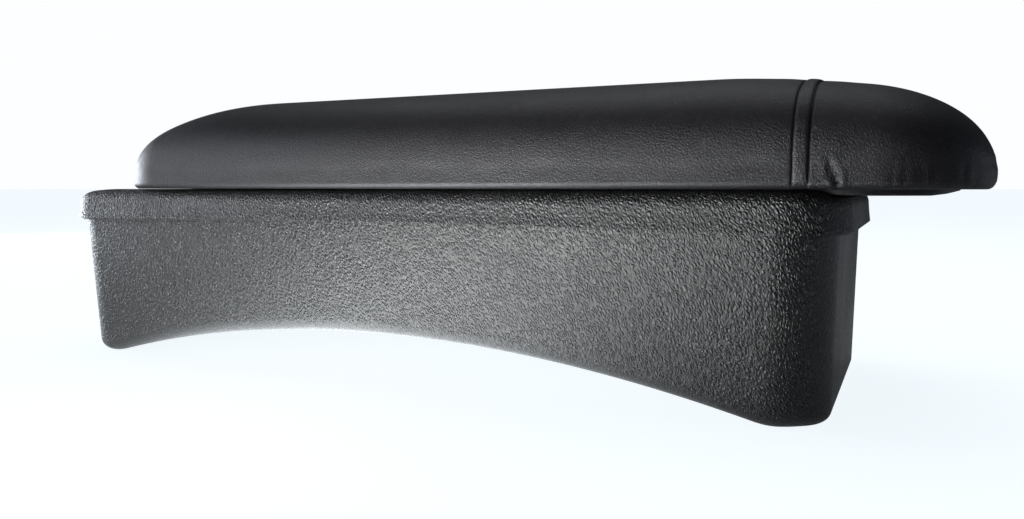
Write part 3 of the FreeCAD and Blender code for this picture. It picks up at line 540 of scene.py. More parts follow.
@dataclass(frozen=True)
class Finish:
    """A surface finish, and the way to make its material."""

    name: str
    color: Color = (0.02, 0.02, 0.02, 1.0)
    light_color: Color = (0.04, 0.04, 0.04, 1.0)
    rough: float = 0.45
    rough_spread: float = 0.12
    specular: float = 0.5
    metallic: float = 0.0

    def start(self) -> Tuple[bpy.types.Material, Tree, bpy.types.Node]:
        """New material with an empty tree and its Principled shader.

        Returns:
            The material, its tree and the shader.
        """
        material = bpy.data.materials.new(self.name)
        material.use_nodes = True
        material.node_tree.nodes.clear()
        tree = Tree(material.node_tree)
        shader = tree.node("BsdfPrincipled")
        shader.inputs["Specular IOR Level"].default_value = self.specular
        shader.inputs["Metallic"].default_value = self.metallic
        output = tree.node("OutputMaterial")
        material.node_tree.links.new(shader.outputs[0], output.inputs[0])
        return material, tree, shader

    def set_varying(self, tree: Tree, shader: bpy.types.Node, key: str, value: bpy.types.NodeSocket) -> None:
        """Feeds one socket of the shader."""
        tree.tree.links.new(value, shader.inputs[key])

    def surface(self, tree: Tree, shader: bpy.types.Node, shade: bpy.types.NodeSocket,
                rough: bpy.types.NodeSocket, height: bpy.types.NodeSocket, depth: float) -> None:
        """Feeds the shader's colour and roughness, and its normal from a height.

        Args:
            tree: the material's tree.
            shader: its shader.
            shade: base colour.
            rough: roughness.
            height: height of the fine texture, 0 to 1.
            depth: distance from its lowest to its highest point.
        """
        normal = tree.node("Bump", {"Height": height, "Distance": depth, "Strength": 1.0}).outputs[0]
        self.set_varying(tree, shader, "Base Color", shade)
        self.set_varying(tree, shader, "Roughness", rough)
        self.set_varying(tree, shader, "Normal", normal)

    @staticmethod
    def pebble(tree: Tree, where: bpy.types.NodeSocket, grain: float, crease: float) -> bpy.types.Node:
        """Adds the pebble grain group."""
        made = tree.node("Group", node_tree=PebbleGroup.get())
        tree.tree.links.new(where, made.inputs["Vector"])
        made.inputs["Scale"].default_value = grain
        made.inputs["Crease"].default_value = crease
        return made

    @staticmethod
    def wear(tree: Tree, scale: float) -> bpy.types.Node:
        """Adds the group of wear and dust, whose edge output is partly a painted highlight."""
        made = tree.node("Group", node_tree=WearAndEdgeHighlightGroup.get())
        tree.tree.links.new(tree.place(), made.inputs["Vector"])
        made.inputs["Scale"].default_value = scale
        return made


@dataclass(frozen=True)
class GrainedPlastic(Finish):
    """Moulded plastic with a pebbled leather grain, drawn out along a slant."""

    grain: float = 1150.0
    stretch: Tuple[float, float, float] = (1.0, 1.0, 0.55)
    slant: float = 0.5
    crease: float = 0.34
    depth: float = 0.00022
    wear_scale: float = 16.0

    def make(self) -> bpy.types.Material:
        """Builds the material."""
        material, t, shader = self.start()
        where = t.place(self.stretch, (0.0, self.slant, 0.0))
        pebble = self.pebble(t, where, self.grain, self.crease)
        wear = self.wear(t, self.wear_scale)
        fine = t.node("TexNoise", {"Vector": t.place(), "Scale": self.grain * 2.6, "Detail": 3.0}).outputs[0]
        shade = t.blend(t.math("MULTIPLY", wear.outputs["Patch"], 0.55), self.color, self.light_color)
        # Darker in the grain's creases and low parts: painted shade.
        shade = t.blend(t.math("MULTIPLY", t.math("SUBTRACT", 1.0, pebble.outputs["Height"]), 0.35), shade,
                        (self.color[0] * 0.45, self.color[1] * 0.45, self.color[2] * 0.45, 1.0))
        # Convex edges a lighter grey: rubbed wear and a painted highlight.
        shade = t.blend(t.math("MULTIPLY", wear.outputs["Edge"], 0.35), shade, (0.12, 0.12, 0.12, 1.0))
        shade = t.blend(t.math("MULTIPLY", wear.outputs["Dust"], 0.10), shade, (0.35, 0.34, 0.33, 1.0))
        rough = t.math("ADD", self.rough, t.math("MULTIPLY", wear.outputs["Patch"], self.rough_spread))
        rough = t.math("ADD", rough, t.math("MULTIPLY", pebble.outputs["Cell"], 0.07))
        height = t.math("ADD", pebble.outputs["Height"], t.math("MULTIPLY", fine, 0.16))
        self.surface(t, shader, shade, rough, height, self.depth)
        return material


@dataclass(frozen=True)
class CoatedLeather(Finish):
    """Coated black leather with a fine grain, faint creases and a soft sheen."""

    grain: float = 1250.0
    crease: float = 0.22
    depth: float = 0.00007
    sheen: float = 0.012
    coat: float = 0.04
    wear_scale: float = 11.0

    def make(self) -> bpy.types.Material:
        """Builds the material."""
        material, t, shader = self.start()
        shader.inputs["Sheen Weight"].default_value = self.sheen
        shader.inputs["Sheen Roughness"].default_value = 0.4
        shader.inputs["Coat Roughness"].default_value = 0.35
        shader.inputs["Coat Weight"].default_value = self.coat
        where = t.place((1.0, 1.0, 0.8), (0.2, 0.3, 0.1))
        pebble = self.pebble(t, where, self.grain, self.crease)
        wear = self.wear(t, self.wear_scale)
        soft = t.node("TexNoise", {"Vector": t.place(), "Scale": self.grain * 0.16, "Detail": 3.0}).outputs[0]
        shade = t.blend(t.math("MULTIPLY", wear.outputs["Patch"], 0.7), self.color, self.light_color)
        # Darker in the grain's creases and low parts: painted shade.
        shade = t.blend(t.math("MULTIPLY", t.math("SUBTRACT", 1.0, pebble.outputs["Height"]), 0.4), shade,
                        (self.color[0] * 0.4, self.color[1] * 0.4, self.color[2] * 0.4, 1.0))
        shade = t.blend(t.math("MULTIPLY", wear.outputs["Dust"], 0.07), shade, (0.32, 0.32, 0.33, 1.0))
        rough = t.math("ADD", self.rough, t.math("MULTIPLY", wear.outputs["Patch"], self.rough_spread))
        rough = t.math("ADD", rough, t.math("MULTIPLY", pebble.outputs["Cell"], 0.05))
        height = t.math("ADD", pebble.outputs["Height"], t.math("MULTIPLY", soft, 1.3))
        self.surface(t, shader, shade, rough, height, self.depth)
        return material


@dataclass(frozen=True)
class SparkPlastic(Finish):
    """Smooth moulded plastic or rubber with a fine matt texture."""

    grain: float = 2600.0
    depth: float = 0.00003
    wear_scale: float = 22.0

    def make(self) -> bpy.types.Material:
        """Builds the material."""
        material, t, shader = self.start()
        wear = self.wear(t, self.wear_scale)
        fine = t.node("TexNoise", {"Vector": t.place(), "Scale": self.grain, "Detail": 2.0}).outputs[0]
        shade = t.blend(t.math("MULTIPLY", wear.outputs["Patch"], 0.8), self.color, self.light_color)
        shade = t.blend(t.math("MULTIPLY", wear.outputs["Dust"], 0.12), shade, (0.4, 0.39, 0.38, 1.0))
        rough = t.math("ADD", self.rough, t.math("MULTIPLY", wear.outputs["Patch"], self.rough_spread))
        self.surface(t, shader, shade, rough, fine, self.depth)
        return material


@dataclass(frozen=True)
class PlatedMetal(Finish):
    """Rolled and plated steel with fine lines and dull patches."""

    lines: Tuple[float, float, float] = (40.0, 900.0, 900.0)
    depth: float = 0.00001

    def make(self) -> bpy.types.Material:
        """Builds the material."""
        material, t, shader = self.start()
        streak = t.node("TexNoise", {"Vector": t.place(self.lines), "Scale": 1.0, "Detail": 4.0}).outputs[0]
        cloud = t.node("TexNoise", {"Vector": t.place(), "Scale": 90.0, "Detail": 5.0}).outputs[0]
        shade = t.blend(t.ramp(cloud, 0.35, 0.7), self.color, self.light_color)
        rough = t.math("ADD", self.rough, t.math("MULTIPLY", cloud, self.rough_spread))
        self.surface(t, shader, shade, rough, streak, self.depth)
        return material


@dataclass(frozen=True)
class PlyWood(Finish):
    """Birch plywood: layers on the edge and long grain on the face."""

    layers: float = 700.0
    depth: float = 0.00006

    def make(self) -> bpy.types.Material:
        """Builds the material."""
        material, t, shader = self.start()
        where = t.place((12.0, 160.0, 160.0))
        grain = t.node("TexNoise", {"Vector": where, "Scale": 1.0, "Detail": 6.0}).outputs[0]
        layer = t.node("TexWave", {"Vector": t.place(), "Scale": self.layers, "Distortion": 0.3},
                       bands_direction="Z")
        shade = t.blend(t.ramp(grain, 0.3, 0.7), self.color, self.light_color)
        shade = t.blend(t.math("MULTIPLY", layer.outputs["Fac"], 0.25), shade, (0.25, 0.15, 0.08, 1.0))
        rough = t.math("ADD", self.rough, t.math("MULTIPLY", grain, 0.2))
        self.surface(t, shader, shade, rough, grain, self.depth)
        return material


@dataclass(frozen=True)
class OpenFoam(Finish):
    """Open-cell foam with small pores."""

    pores: float = 1800.0
    depth: float = 0.0002

    def make(self) -> bpy.types.Material:
        """Builds the material."""
        material, t, shader = self.start()
        pore = t.node("TexVoronoi", {"Vector": t.place(), "Scale": self.pores}).outputs["Distance"]
        cloud = t.node("TexNoise", {"Vector": t.place(), "Scale": 60.0, "Detail": 3.0}).outputs[0]
        shade = t.blend(t.ramp(cloud, 0.3, 0.7), self.color, self.light_color)
        # Darker pores: painted shade inside the pores.
        shade = t.blend(t.ramp(pore, 0.45, 0.1), shade, (0.30, 0.24, 0.14, 1.0))
        rough = t.math("ADD", self.rough, t.math("MULTIPLY", cloud, 0.1))
        self.surface(t, shader, shade, rough, pore, self.depth)
        return material


def grey(value: float, warm: float = 0.0) -> Color:
    """Grey colour, a little warmer or cooler."""
    return (value * (1 + warm), value, value * (1 - warm), 1.0)


BLACK_HIDE = (0.0085, 0.0078, 0.0098, 1)
BOX_PLASTIC = GrainedPlastic("box_grained_plastic", grey(0.012), grey(0.019, 0.03), rough=0.31, specular=0.55)
RIM_PLASTIC = GrainedPlastic("rim_grained_plastic", grey(0.012), grey(0.018, 0.02), rough=0.31, specular=0.55)
LEATHER = CoatedLeather("coated_leather", BLACK_HIDE, (0.0125, 0.0118, 0.0138, 1), rough=0.42, specular=0.4)
BAND_LEATHER = CoatedLeather("band_leather", BLACK_HIDE, (0.012, 0.0115, 0.0132, 1), rough=0.38, specular=0.4)
LINER_PLASTIC = SparkPlastic("liner_plastic", grey(0.022), grey(0.032), rough=0.55, specular=0.4)
PLATE_PLASTIC = SparkPlastic("plate_plastic", grey(0.012), grey(0.02), rough=0.42, specular=0.4)
RUBBER = SparkPlastic("seal_rubber_matt", grey(0.010), grey(0.018), rough=0.7, specular=0.3)
MAT_RUBBER = SparkPlastic("mat_rubber_matt", grey(0.016), grey(0.026), rough=0.75, specular=0.3)
ACETAL = SparkPlastic("natural_acetal", (0.74, 0.73, 0.68, 1), (0.82, 0.80, 0.74, 1), rough=0.4, specular=0.5)
ZINC = PlatedMetal("zinc_plated_steel", (0.55, 0.55, 0.52, 1), (0.66, 0.65, 0.60, 1), rough=0.28,
                   metallic=1.0)
GROUND_STEEL = PlatedMetal("ground_steel", (0.50, 0.50, 0.51, 1), (0.62, 0.62, 0.62, 1), rough=0.2,
                           metallic=1.0)
NICKEL = PlatedMetal("nickel_plate", (0.62, 0.60, 0.55, 1), (0.7, 0.68, 0.63, 1), rough=0.14, metallic=1.0)
PLY = PlyWood("birch_ply", (0.52, 0.37, 0.22, 1), (0.68, 0.52, 0.34, 1), rough=0.55)
FOAM = OpenFoam("open_foam", (0.62, 0.53, 0.33, 1), (0.72, 0.64, 0.44, 1), rough=0.85, specular=0.2)


# ---------------------------------------------------------------- storage box
@dataclass
class StorageBox:
    """The moulded tub: drafted walls, arched floor, rounded lower edge and hinge ears."""

    half_length: float
    half_width: float
    wall_top: float
    corner: float = 17.4 * MM
    rear_corner: float = 13.5 * MM
    front_step: float = 1.2 * MM
    wall: float = 2.5 * MM
    floor: float = 2.8 * MM
    arch_rise: float = 17.0 * MM
    foot_inner: float = 131.4 * MM
    foot_blend: float = 30.0 * MM
    rear_draft: float = 3.8
    front_draft: float = 1.0
    side_draft: float = 1.5
    edge_radius: float = 4.5 * MM
    front_edge_extra: float = -1.3 * MM
    inner_radius: float = 3.0 * MM
    lip_radius: float = 0.5 * MM
    mount_x: float = 138.9 * MM
    mount_y: float = 38.0 * MM
    mount_radius: float = 2.4 * MM
    head_clearance: float = 4.6 * MM
    ear_radius: float = 4.2 * MM
    ear_root: float = 1.6 * MM
    ear_web_height: float = 12.0 * MM
    ear_edge: float = 0.5 * MM
    ear_spans: Tuple[Tuple[float, float], ...] = ((-38.3, -30.3), (-13.7, 13.7), (30.3, 38.3))
    layout: RingLayout = field(default_factory=lambda: RingLayout(170, 60, 14))

    def underside(self, x: np.ndarray) -> np.ndarray:
        """Height of the underside: flat feet, a circular blend, then one long arc over the middle.

        The long arc's height is its centre plus the root of its radius squared less x squared.

        Args:
            x: positions along the box.

        Returns:
            The height at each position.
        """
        rise = self.arch_rise
        radius = (self.foot_inner ** 2 + rise ** 2) / (2 * rise)
        centre = rise - radius
        total = radius + self.foot_blend
        blend_x = math.sqrt(total ** 2 - (self.foot_blend - centre) ** 2)
        join_x = blend_x * radius / total
        far = np.abs(x)
        long_arc = centre + np.sqrt(np.maximum(radius ** 2 - np.minimum(far, join_x) ** 2, 0))
        offset = np.clip(blend_x - far, 0, self.foot_blend)
        blend = self.foot_blend - np.sqrt(self.foot_blend ** 2 - offset ** 2)
        return np.where(far < join_x, long_arc, blend)

    def section(self, inset: np.ndarray, height: np.ndarray) -> np.ndarray:
        """Ring at a wall inset, with each point moved in by the draft at its own height.

        Args:
            inset: distance in from the outer face.
            height: height of each point.

        Returns:
            A count by 3 ring.
        """
        half, side = self.half_length - inset, self.half_width - inset
        corner = max(self.corner - inset, 1 * MM)
        back = max(self.rear_corner - inset, 1 * MM)
        nose = half - self.front_step
        top = self.layout.outline(-half, nose, side, back, corner)
        drop = self.wall_top
        rear = drop * math.tan(math.radians(self.rear_draft))
        front = drop * math.tan(math.radians(self.front_draft))
        narrow = drop * math.tan(math.radians(self.side_draft))
        low = self.layout.outline(-half + rear, nose - front, side - narrow, back, corner)
        share = ((self.wall_top - height) / drop)[:, None]
        return np.column_stack([top + (low - top) * share, height])

    def ring_near_floor(self, inset: float, lift: float) -> np.ndarray:
        """Ring that follows the underside, raised by lift."""
        plain = self.section(inset, np.full(self.layout.count, lift))
        return self.section(inset, self.underside(plain[:, 0]) + lift)

    def rings(self) -> List[np.ndarray]:
        """All rings, from the inner floor up the inner wall, over the lip and down the outside.

        Returns:
            The stack of rings.
        """
        made: List[np.ndarray] = []
        quarter = np.radians(np.linspace(0, 90, 7))
        for turn in quarter[::-1]:
            inset = self.wall + self.inner_radius * (1 - math.cos(turn))
            made.append(self.ring_near_floor(inset, self.floor + self.inner_radius * (1 - math.sin(turn))))
        base = made[-1]
        top = self.section(self.wall, np.full(self.layout.count, self.wall_top - self.lip_radius))
        made += [base * (1 - s) + top * s for s in np.linspace(0, 1, 16)[1:]]
        for turn in np.radians([30, 60, 90]):
            inset = self.wall - self.lip_radius * (1 - math.cos(turn))
            height = self.wall_top - self.lip_radius * (1 - math.sin(turn))
            made.append(self.section(inset, np.full(self.layout.count, height)))
        for turn in np.radians([90, 60, 30, 0]):
            inset = self.lip_radius * (1 - math.cos(turn))
            height = self.wall_top - self.lip_radius * (1 - math.sin(turn))
            made.append(self.section(inset, np.full(self.layout.count, height)))
        radius = self.edge_radius + self.front_edge_extra * smooth(0.6, 1.0, self.frontness())
        start = made[-1]
        corner_top = self.follow(radius, 0.0)
        made += [start * (1 - s) + corner_top * s for s in np.linspace(0, 1, 26)[1:]]
        made += [self.follow(radius, turn) for turn in np.radians(np.linspace(0, 90, 12))[1:]]
        return made

    def frontness(self) -> np.ndarray:
        """How far each ring point faces the front, from -1 to 1."""
        half, side = self.half_length, self.half_width
        plan = self.layout.outline(-half, half, side, self.corner, self.corner)
        step = np.roll(plan, -1, 0) - np.roll(plan, 1, 0)
        return step[:, 1] / np.maximum(np.linalg.norm(step, axis=1), 1e-9)

    def follow(self, radius: np.ndarray, turn: float) -> np.ndarray:
        """Ring on the rounded lower edge at an angle, with its own radius at each point.

        Args:
            radius: edge radius at each point.
            turn: 0 where the wall ends and 90 degrees, in radians, where the underside starts.

        Returns:
            A count by 3 ring.
        """
        inset = radius * (1 - math.cos(turn))
        plain = self.section(0.0, np.zeros(self.layout.count))
        inner = self.section(1 * MM, np.zeros(self.layout.count))
        way = (inner - plain)[:, :2] / (1 * MM)
        x = plain[:, 0] + way[:, 0] * inset
        height = self.underside(x) + radius * (1 - math.sin(turn))
        ring = self.section(0.0, height)
        ring[:, :2] += way * inset[:, None]
        return ring

    def mount_holes(self, radius: float, low: float, high: float) -> List[Tuple[float, ...]]:
        """A round hole of a radius and height span at each floor screw."""
        return [(sx * self.mount_x, sy * self.mount_y, radius, low, high) for sx in (-1, 1) for sy in (-1, 1)]

    def ears(self) -> List[bpy.types.Object]:
        """Three hinge ears: a round eye with a web that runs down the rear wall.

        Returns:
            One object for each ear.
        """
        low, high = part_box("hinge_pin")
        axis_x, axis_z = (low.x + high.x) / 2, (low.z + high.z) / 2
        eye = self.ear_radius
        wall_x = -self.half_length + self.ear_root
        turn = np.radians(np.linspace(40, 228, 22))
        outline = np.concatenate([
            np.stack([axis_x + eye * np.cos(turn), axis_z + eye * np.sin(turn)], 1),
            [(wall_x, axis_z - self.ear_web_height), (wall_x, axis_z + eye / 2)],
        ])
        return [slab("ear", outline, a * MM, b * MM, self.ear_edge) for a, b in self.ear_spans]

    def build(self, material: bpy.types.Material) -> bpy.types.Object:
        """Makes the tub.

        Args:
            material: its finish.

        Returns:
            The finished piece.
        """
        piece = shell("storage_tub", self.rings(), self.layout)
        cut_round_holes(piece, self.mount_holes(self.mount_radius, -5 * MM, 8 * MM))
        ears = self.ears()
        join(piece, *ears)
        sharpen(piece, 38)
        dress(piece, material)
        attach(piece, "box")
        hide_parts("storage_box")
        return piece

    def build_mat(self, material: bpy.types.Material) -> bpy.types.Object:
        """Makes the ribbed mat: its top rises and falls as a power of a cosine along the box.

        Args:
            material: its finish.

        Returns:
            The finished piece.
        """
        layout = RingLayout(340, 60, 10)
        box = StorageBox(self.half_length, self.half_width, self.wall_top, layout=layout)
        gap, thick, rib, pitch = 0.6 * MM, 1.3 * MM, 0.3 * MM, 4.0 * MM
        top = box.ring_near_floor(self.wall + gap + 0.5 * MM, self.floor + thick)
        side = box.ring_near_floor(self.wall + gap, self.floor + thick - 0.5 * MM)
        low = box.ring_near_floor(self.wall + gap, self.floor + 0.05 * MM)
        piece = shell("floor_mat_ribbed", [top, side, low], layout)
        count = len(piece.data.vertices)
        spots = np.empty(count * 3)
        piece.data.vertices.foreach_get("co", spots)
        spots = spots.reshape(-1, 3)
        above = spots[:, 2] - self.underside(spots[:, 0]) - self.floor
        ridge = np.clip(np.cos(spots[:, 0] / pitch * 2 * math.pi), 0, 1) ** 0.5
        inside = smooth(0.0, 3 * MM, self.half_width - 6 * MM - np.abs(spots[:, 1]))
        spots[:, 2] += np.where(above > thick * 0.7, ridge * rib * inside, 0)
        piece.data.vertices.foreach_set("co", spots.ravel())
        cut_round_holes(piece, self.mount_holes(self.head_clearance, 1 * MM, 12 * MM))
        sharpen(piece, 45)
        dress(piece, material)
        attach(piece, "box")
        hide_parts("floor_mat")
        return piece

    def build_seal(self, material: bpy.types.Material) -> bpy.types.Object:
        """Makes the rubber bead on the wall, a flattened circle carried round the mouth."""
        height = 1.8 * MM
        middle = self.wall / 2
        rings = []
        for turn in np.radians(np.arange(0, 360, 30)):
            inset = middle - (self.wall / 2 - 0.2 * MM) * math.cos(turn)
            z = self.wall_top + height / 2 - height / 2 * math.sin(turn)
            ring = self.section(inset, np.full(self.layout.count, self.wall_top))
            ring[:, 2] = z
            rings.append(ring)
        piece = shell("mouth_bead", rings, self.layout, loop=True)
        dress(piece, material)
        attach(piece, "box")
        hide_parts("mouth_seal")
        return piece


# ---------------------------------------------------------------- lid frame
@dataclass
class LidFrame:
    """The rim: skirt with a flared lip, rounded shoulder, falling rear deck and the slide's tray."""

    half_length: float
    half_width: float
    top: float
    corner: float = 20.0 * MM
    rear_corner: float = 15.5 * MM
    skirt_bottom: float = 55.0 * MM
    flare: float = 0.7 * MM
    flare_power: float = 1.3
    skirt_wall: float = 1.4 * MM
    groove_height: float = 0.7 * MM
    groove_depth: float = 0.9 * MM
    shoulder: float = 5.0 * MM
    ceiling: float = 62.8 * MM
    tray_rear: float = -126.8 * MM
    tray_front: float = 143.5 * MM
    tray_half: float = 55.5 * MM
    tray_wall: float = 1.8 * MM
    tray_corner: float = 14.0 * MM
    tray_floor: float = 59.5 * MM
    tray_bottom: float = 57.0 * MM
    rear_fall: float = 2.5 * MM
    rear_fall_length: float = 28.0 * MM
    side_arch: float = 1.0 * MM
    notch_top: float = 65.5 * MM
    knuckle_radius: float = 4.6 * MM
    knuckle_edge: float = 0.4 * MM
    knuckle_spans: Tuple[Tuple[float, float], ...] = ((-30.0, -14.0), (14.0, 30.0))
    layout: RingLayout = field(default_factory=lambda: RingLayout(150, 150, 14))

    def rim(self, inset: float, z: float) -> np.ndarray:
        """Ring of the outer rim at an inset and height."""
        half, side = self.half_length - inset, self.half_width - inset
        plan = self.layout.outline(-half, half, side, self.rear_corner - inset, self.corner - inset)
        return at_height(plan, z)

    def tray(self, inset: float, z: float) -> np.ndarray:
        """Ring of the tray at an inset and height."""
        radius = max(self.tray_corner - inset, 2 * MM)
        rear, front = self.tray_rear + inset, self.tray_front - inset
        plan = self.layout.outline(rear, front, self.tray_half - inset, radius, radius)
        return at_height(plan, z)

    def shaped(self, ring: np.ndarray, amount: float = 1.0) -> np.ndarray:
        """Lowers the rear deck along a parabola and opens the front for the sliding plate.

        Args:
            ring: a ring at the top of the frame.
            amount: share of the change, 1 on the deck and 0 below the shoulder.

        Returns:
            The changed ring.
        """
        made = ring.copy()
        behind = np.clip(-self.half_length + self.rear_fall_length - made[:, 0], 0, None)
        made[:, 2] -= amount * self.rear_fall * (behind / self.rear_fall_length) ** 2
        gap = (self.tray_half - self.tray_wall)
        inside = smooth(gap + 0.6 * MM, gap - 0.2 * MM, np.abs(made[:, 1])) * smooth(
            self.tray_front - 8 * MM, self.tray_front - 6 * MM, made[:, 0])
        lowered = np.minimum(made[:, 2], self.notch_top)
        made[:, 2] = made[:, 2] * (1 - inside) + lowered * inside
        return made

    def rings(self) -> List[np.ndarray]:
        """All rings, from the tray floor up to the deck, over the shoulder, round the lip and underneath.

        Returns:
            The stack of rings.
        """
        fillet = 0.8 * MM
        wall = self.tray_wall
        made = [self.tray(wall + fillet, self.tray_floor),
                self.tray(wall + 0.3 * fillet, self.tray_floor + 0.3 * fillet),
                self.tray(wall, self.tray_floor + fillet)]
        heights = np.linspace(self.tray_floor + fillet, self.top - 0.5 * MM, 8)[1:]
        made += [self.shaped(self.tray(wall, z)) for z in heights]
        made.append(self.shaped(self.tray(wall - 0.15 * MM, self.top - 0.15 * MM)))
        made.append(self.shaped(self.tray(wall - 0.5 * MM, self.top)))
        inset = self.flare
        inner = self.shaped(self.tray(wall - 1.2 * MM, self.top))
        outer = self.shaped(self.rim(inset + self.shoulder, self.top))
        made += [inner * (1 - s) + outer * s for s in (0.0, 0.34, 0.67)]
        for turn in np.radians(np.linspace(90, 0, 9)):
            height = self.top - self.shoulder * (1 - math.sin(turn))
            ring = self.rim(inset + self.shoulder * (1 - math.cos(turn)), height)
            made.append(self.shaped(ring, amount=math.sin(turn) ** 0.5 if turn > 0 else 0.0))
        high = self.top - self.shoulder
        low = self.skirt_bottom + self.groove_height
        for share in np.linspace(0, 1, 14)[1:]:
            flared = inset * (1 - share ** self.flare_power)
            made.append(self.lifted(self.rim(flared, high + (low - high) * share)))
        made.append(self.lifted(self.rim(0.06 * MM, low - 0.08 * MM)))
        made.append(self.lifted(self.rim(0.2 * MM, low - 0.12 * MM)))
        made.append(self.lifted(self.rim(self.groove_depth, low - 0.12 * MM)))
        made.append(self.lifted(self.rim(self.groove_depth, self.skirt_bottom)))
        made.append(self.lifted(self.rim(self.skirt_wall - 0.2 * MM, self.skirt_bottom)))
        made.append(self.lifted(self.rim(self.skirt_wall, self.skirt_bottom + 0.3 * MM)))
        made.append(self.rim(self.skirt_wall + 0.5 * MM, self.ceiling - 1 * MM))
        made.append(self.rim(self.skirt_wall + 1.2 * MM, self.ceiling))
        made.append(self.tray(-0.8 * MM, self.ceiling))
        made.append(self.tray(0.0, self.ceiling - 0.8 * MM))
        made.append(self.tray(0.0, self.tray_bottom + fillet))
        made.append(self.tray(0.3 * fillet, self.tray_bottom + 0.3 * fillet))
        made.append(self.tray(fillet, self.tray_bottom))
        return made

    def lifted(self, ring: np.ndarray) -> np.ndarray:
        """Arches the skirt's lower edge up a little towards mid-length, as a squared cosine."""
        made = ring.copy()
        low = smooth(self.skirt_bottom + 5 * MM, self.skirt_bottom, made[:, 2])
        along = np.clip(made[:, 0] / self.half_length, -1, 1)
        made[:, 2] += self.side_arch * low * np.cos(along * math.pi / 2) ** 2
        return made

    def knuckles(self) -> List[bpy.types.Object]:
        """Two hinge knuckles: a round eye with a web up to the rear skirt."""
        low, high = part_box("hinge_pin")
        axis_x, axis_z = (low.x + high.x) / 2, (low.z + high.z) / 2
        eye = self.knuckle_radius
        face = -self.half_length + self.skirt_wall
        turn = np.radians(np.linspace(135, 340, 24))
        outline = np.concatenate([
            np.stack([axis_x + eye * np.cos(turn), axis_z + eye * np.sin(turn)], 1),
            [(face, self.skirt_bottom + 0.3 * MM), (face, self.skirt_bottom + 6 * MM)],
        ])
        return [slab("knuckle", outline, a * MM, b * MM, self.knuckle_edge) for a, b in self.knuckle_spans]

    def build(self, material: bpy.types.Material) -> bpy.types.Object:
        """Makes the frame.

        Args:
            material: its finish.

        Returns:
            The finished piece.
        """
        piece = shell("lid_rim", self.rings(), self.layout)
        join(piece, *self.knuckles())
        sharpen(piece, 40)
        dress(piece, material)
        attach(piece, "lid")
        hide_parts("lid_frame")
        return piece


# ---------------------------------------------------------------- padded rest
@dataclass(frozen=True)
class SectionCount:
    """How many points a cross section of the pad has on each stretch."""

    bottom: int = 34
    corner: int = 7
    top: int = 150

    @property
    def total(self) -> int:
        """Points in one section."""
        return self.bottom + 2 * self.corner + self.top


